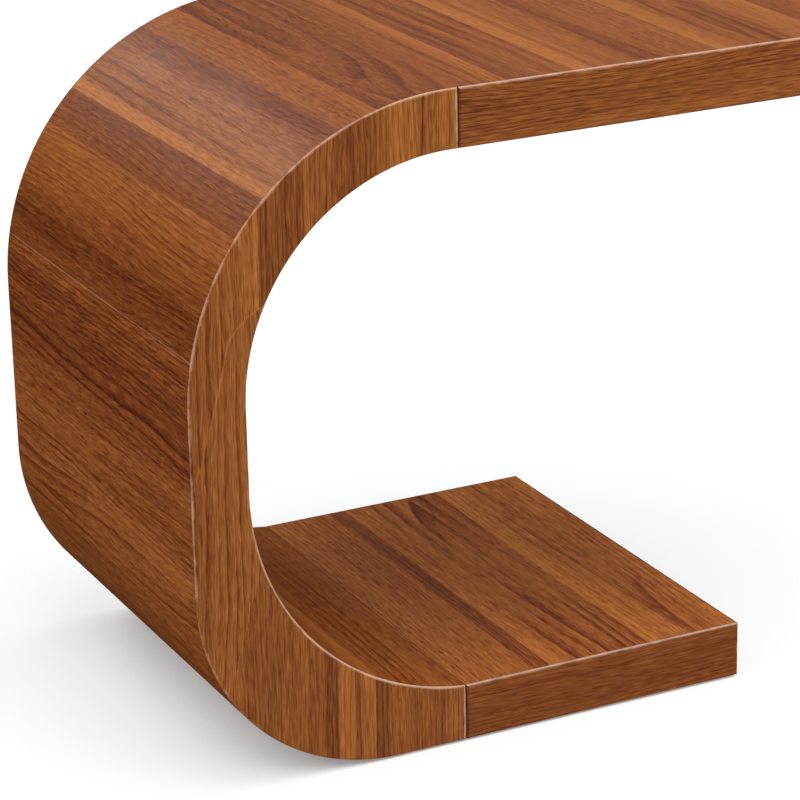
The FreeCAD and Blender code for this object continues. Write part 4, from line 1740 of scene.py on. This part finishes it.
@dataclass
class Panel(SubAssembly):
    """A top or base panel: two sheets, three facings and what is inside.

    Attributes:
        name: First word of the nodes' names.
        low: Level of the underside.
        high: Level of the upper face.
        end: Where the free end lies.
        inner_nodes: The solids inside and what they are made of.
        joint_edge: How dark the joint line on the upper face is: painted shade in the joint.
        joint_ease: Radius of the upper sheet's eased edge at the joint.
        facing_wear: Edges of the facings on each side: pale with wear and painted highlight, dark with
            painted shade at the joint and along the rear.
        end_wear: Edge of the end facing: painted shade along its upper edge.
    """

    name: str
    low: float
    high: float
    end: float
    inner_nodes: InnerNodes
    joint_edge: float = 0.0
    joint_ease: float = 0.0003
    # Positive values are wear and painted highlight; negative ones painted shade at the joint and along
    # the rear and end edges.
    facing_wear: ClassVar[dict[Side, PaintedLightAndWear]] = {
        Side.FRONT: (0.72, -0.7, 0.0, 0.35), Side.REAR: (-0.3, -0.7, 0.0, 0.1)}
    end_wear: ClassVar[PaintedLightAndWear] = (-0.3, 0.0, 0.0, 0.0)

    def pieces(self) -> list[EasedPlate | BentSheet]:
        """Give the facings and the sheets."""
        return [*self.facings(), *self.sheets()]

    def facings(self) -> list[EasedPlate]:
        """Give the front, rear and end facings.

        Returns:
            The facings in that order.
        """
        sizes = {"low": self.low, "high": self.high, "end": self.end}
        plates: list[EasedPlate] = [
            PanelFacing(f"{self.name}_{side.name.lower()}_facing", "walnut_edge_facing",
                        f"walnut_{self.name}_edge", self.facing_wear[side], side=side, **sizes)
            for side in Side]
        plates.append(EndFacing(f"{self.name}_end_facing", "walnut_end_facing",
                                f"walnut_{self.name}_end", self.end_wear, **sizes))
        return plates

    def sheets(self) -> list[BentSheet]:
        """Give the upper and lower sheet.

        Returns:
            The sheets, each from the joint to the end facing.
        """
        upper, lower = [], []
        for inset in (0.0, SIZES.skin):
            for profiles, level in ((upper, self.high - inset), (lower, self.low + inset)):
                profiles.append([(SIZES.joint, level), (self.end - SIZES.band, level)])
        return [BentSheet(f"{self.name}_upper_skin", f"walnut_{self.name}_face", *upper,
                          start_ease=self.joint_ease, start_edge=self.joint_edge),
                BentSheet(f"{self.name}_lower_skin", f"walnut_{self.name}_under", *lower)]


class LampUse(Enum):
    """Whether a lamp lights the wood or shows only in the sheen of its lacquer."""

    FILL = auto()
    SHEEN = auto()


@dataclass(frozen=True)
class SoftBox:
    """A large soft lamp.

    Attributes:
        name: Name of the lamp.
        place: Where it stands, in metres.
        aim: What it points at.
        size: Width and height in metres.
        power: Watts.
        use: What it is for.
    """

    name: str
    place: Triple
    aim: Triple
    size: tuple[float, float]
    power: float
    use: LampUse = LampUse.FILL

    def build(self) -> None:
        """Hang the lamp."""
        lamp = bpy.data.lights.new(self.name, "AREA")
        lamp.shape = "RECTANGLE"
        lamp.size, lamp.size_y = self.size
        lamp.energy = self.power
        holder = new_object(self.name, lamp)
        holder.visible_diffuse = self.use is LampUse.FILL
        holder.visible_glossy = self.use is LampUse.SHEEN
        way = Vector(self.aim) - Vector(self.place)
        holder.location = self.place
        holder.rotation_mode = "QUATERNION"
        holder.rotation_quaternion = way.to_track_quat("-Z", "Y")
        log.info("lamp %s: %.0f W", self.name, self.power)


@dataclass(frozen=True)
class Studio:
    """Floor, light and camera.

    Attributes:
        floor_reach: Half of the floor's width in metres.
        floor_colour: Colour of the floor.
        floor_roughness: Roughness of the floor.
        floor_glow: How strongly the floor shines by itself.
        shade_reach: How far the table hides the sky for the painted shadow that dims that glow, in
            metres.
        shade_span: Share of open sky from the dimmest glow to the full one.
        shade_glow: The dimmest glow, deepest in the painted shadow.
        zenith_light: Strength of the surround overhead.
        zenith_power: How quickly it falls off towards the horizon.
        front_lean: How much brighter it is to the front.
        lamps: The lamps.
        azimuth: Way that the camera looks, in radians from the depth of the table.
        pitch: How far it looks down, in radians.
        roll: How far it is tilted, in radians.
        focal_pixels: Its focal length in pixels of the picture.
        picture_pixels: Width of the picture in pixels.
        sensor: Width of the sensor in millimetres.
        eye: Where the camera stands, in metres.
        sight: How far it sees, in metres.
    """

    floor_reach: float = 14.0
    floor_colour: Colour = (0.420, 0.442, 0.446, 1.0)
    floor_roughness: float = 0.9
    floor_glow: float = 0.55
    shade_reach: float = 0.5
    shade_span: tuple[float, float] = (0.05, 0.45)
    shade_glow: float = 0.4
    zenith_light: float = 3.3
    zenith_power: float = 4.0
    front_lean: float = 0.9
    lamps: tuple[SoftBox, ...] = (
        SoftBox("front_fill", (1.5, -3.2, 2.0), (0.0, 0.0, 0.25), (2.4, 2.0), 27.5),
        SoftBox("left_fill", (-3.4, -0.6, 1.5), (0.0, 0.0, 0.3), (2.4, 2.0), 34.0),
        SoftBox("right_fill", (2.4, -0.9, 2.0), (0.0, 0.0, 0.1), (2.0, 1.4), 12.0),
        SoftBox("rear_sheen", (-0.75, 2.6, 1.95), (0.0, 0.0, 0.5), (1.6, 1.1), 15.0, LampUse.SHEEN),
        SoftBox("top_sheen", (1.3, 2.6, 1.95), (0.0, 0.0, 0.57), (1.8, 0.9), 3.3, LampUse.SHEEN),
    )
    azimuth: float = 0.45666
    pitch: float = 0.34655
    roll: float = 0.02069
    focal_pixels: float = 3260.21
    picture_pixels: float = 800.0
    sensor: float = 36.0
    eye: Triple = (-1.2393, -2.4331, 1.2149)
    sight: float = 100.0

    def build(self) -> None:
        """Set up the floor, the lamps, the surround and the camera."""
        self.lay_floor()
        for lamp in self.lamps:
            lamp.build()
        self.light_surround()
        self.aim_camera()

    def lay_floor(self) -> None:
        """Lay a pale floor under the pads, with a painted shadow close under the bend, and clear from
        below.
        """
        reach = self.floor_reach
        corners = [(-reach, -reach, 0), (reach, -reach, 0), (reach, reach, 0), (-reach, reach, 0)]
        mesh = bpy.data.meshes.new("floor")
        mesh.from_pydata(corners, [], [(0, 1, 2, 3)])
        floor = new_object("floor", mesh)
        material, nodes, shader = new_material("pale_floor")
        behind = nodes.add("ShaderNodeNewGeometry").outputs["Backfacing"]
        nodes.wire(shader.inputs["Alpha"], nodes.math("SUBTRACT", 1.0, behind))
        shader.inputs["Base Color"].default_value = self.floor_colour
        shader.inputs["Roughness"].default_value = self.floor_roughness
        shader.inputs["Specular IOR Level"].default_value = 0.0
        # Painted shadow: the glow dims where the table hides the sky.
        open_sky = nodes.add("ShaderNodeAmbientOcclusion")
        open_sky.inputs["Distance"].default_value = self.shade_reach
        open_share = nodes.span(open_sky.outputs["AO"], *self.shade_span)
        dim = (self.shade_glow, self.shade_glow, self.shade_glow, 1.0)
        nodes.wire(shader.inputs["Emission Color"], nodes.mix(open_share, dim, WHITE))
        shader.inputs["Emission Strength"].default_value = self.floor_glow
        mesh.materials.append(material)
        floor.visible_glossy = False

    def light_surround(self) -> None:
        """Light the scene from a dome, bright overhead and to the front, on a white ground."""
        scene = bpy.context.scene
        scene.world = scene.world or bpy.data.worlds.new("surround")
        scene.world.use_nodes = True
        nodes = Nodes(scene.world.node_tree)
        background = next(node for node in nodes.tree.nodes if node.type == "BACKGROUND")
        way = nodes.add("ShaderNodeTexCoord").outputs["Generated"]
        _, back, rise = nodes.add("ShaderNodeSeparateXYZ", (way,)).outputs
        background.inputs["Color"].default_value = WHITE
        height = nodes.math("POWER", nodes.math("MAXIMUM", rise, 0.0), self.zenith_power)
        lean = nodes.math("MULTIPLY_ADD", back, -self.front_lean, 1.0)
        dome = nodes.math("MULTIPLY", nodes.math("MULTIPLY", height, self.zenith_light), lean)
        seen = nodes.add("ShaderNodeLightPath").outputs["Is Camera Ray"]
        nodes.wire(background.inputs["Strength"], nodes.math("MAXIMUM", dome, seen))
        scene.view_settings.view_transform = "Standard"
        scene.view_settings.look = "None"

    def aim_camera(self) -> None:
        """Stand the camera where the photograph was taken from."""
        flat = math.cos(self.pitch)
        forward = Vector((math.sin(self.azimuth) * flat, math.cos(self.azimuth) * flat,
                          -math.sin(self.pitch)))
        level = Vector((math.cos(self.azimuth), -math.sin(self.azimuth), 0.0))
        down = forward.cross(level)
        right = level * math.cos(self.roll) + down * math.sin(self.roll)
        up = right.cross(forward)
        turn = Matrix((right, up, -forward)).transposed().to_4x4()
        data = bpy.data.cameras.new("camera")
        data.sensor_fit = "HORIZONTAL"
        data.sensor_width = self.sensor
        data.lens = self.focal_pixels * self.sensor / self.picture_pixels
        data.clip_end = self.sight
        camera = new_object("camera", data)
        camera.matrix_world = Matrix.Translation(self.eye) @ turn
        bpy.context.scene.camera = camera


TOP_INSIDE = (
    ("top_joint_rail", Fitting.SOFTWOOD), ("top_end_rail", Fitting.SOFTWOOD),
    ("top_side_rails", Fitting.SOFTWOOD), ("top_cross_slats", Fitting.SOFTWOOD),
    ("top_joint_dowels", Fitting.BEECH), ("top_cam_bolts", Fitting.STEEL),
    ("top_joint_cams", Fitting.ZINC), ("top_cam_caps", Fitting.PLASTIC),
)
BASE_INSIDE = (
    ("base_core", Fitting.CHIPBOARD), ("base_joint_dowels", Fitting.BEECH),
    ("base_cam_bolts", Fitting.STEEL), ("base_joint_cams", Fitting.ZINC),
    ("floor_pads", Fitting.FELT),
)


def write_sizes() -> None:
    """Bring the view layer up to date."""
    bpy.context.view_layer.update()


def main() -> None:
    """Build and dress the table, then set up the studio."""
    logging.basicConfig(level=logging.INFO, format="%(name)s %(message)s")
    dresser = Dresser(Effects.build())
    dresser.stock([*VENEERS, *FITTINGS])
    top = Panel("top", SIZES.top_under, SIZES.height, SIZES.top_length, TOP_INSIDE)
    base = Panel("base", SIZES.pad, SIZES.base_top, SIZES.base_length, BASE_INSIDE, JOINT_SHADE)
    for part in (Back(), top, base):
        part.build(dresser)
    Studio().build()
    write_sizes()


if __name__ == "__main__":
    main()
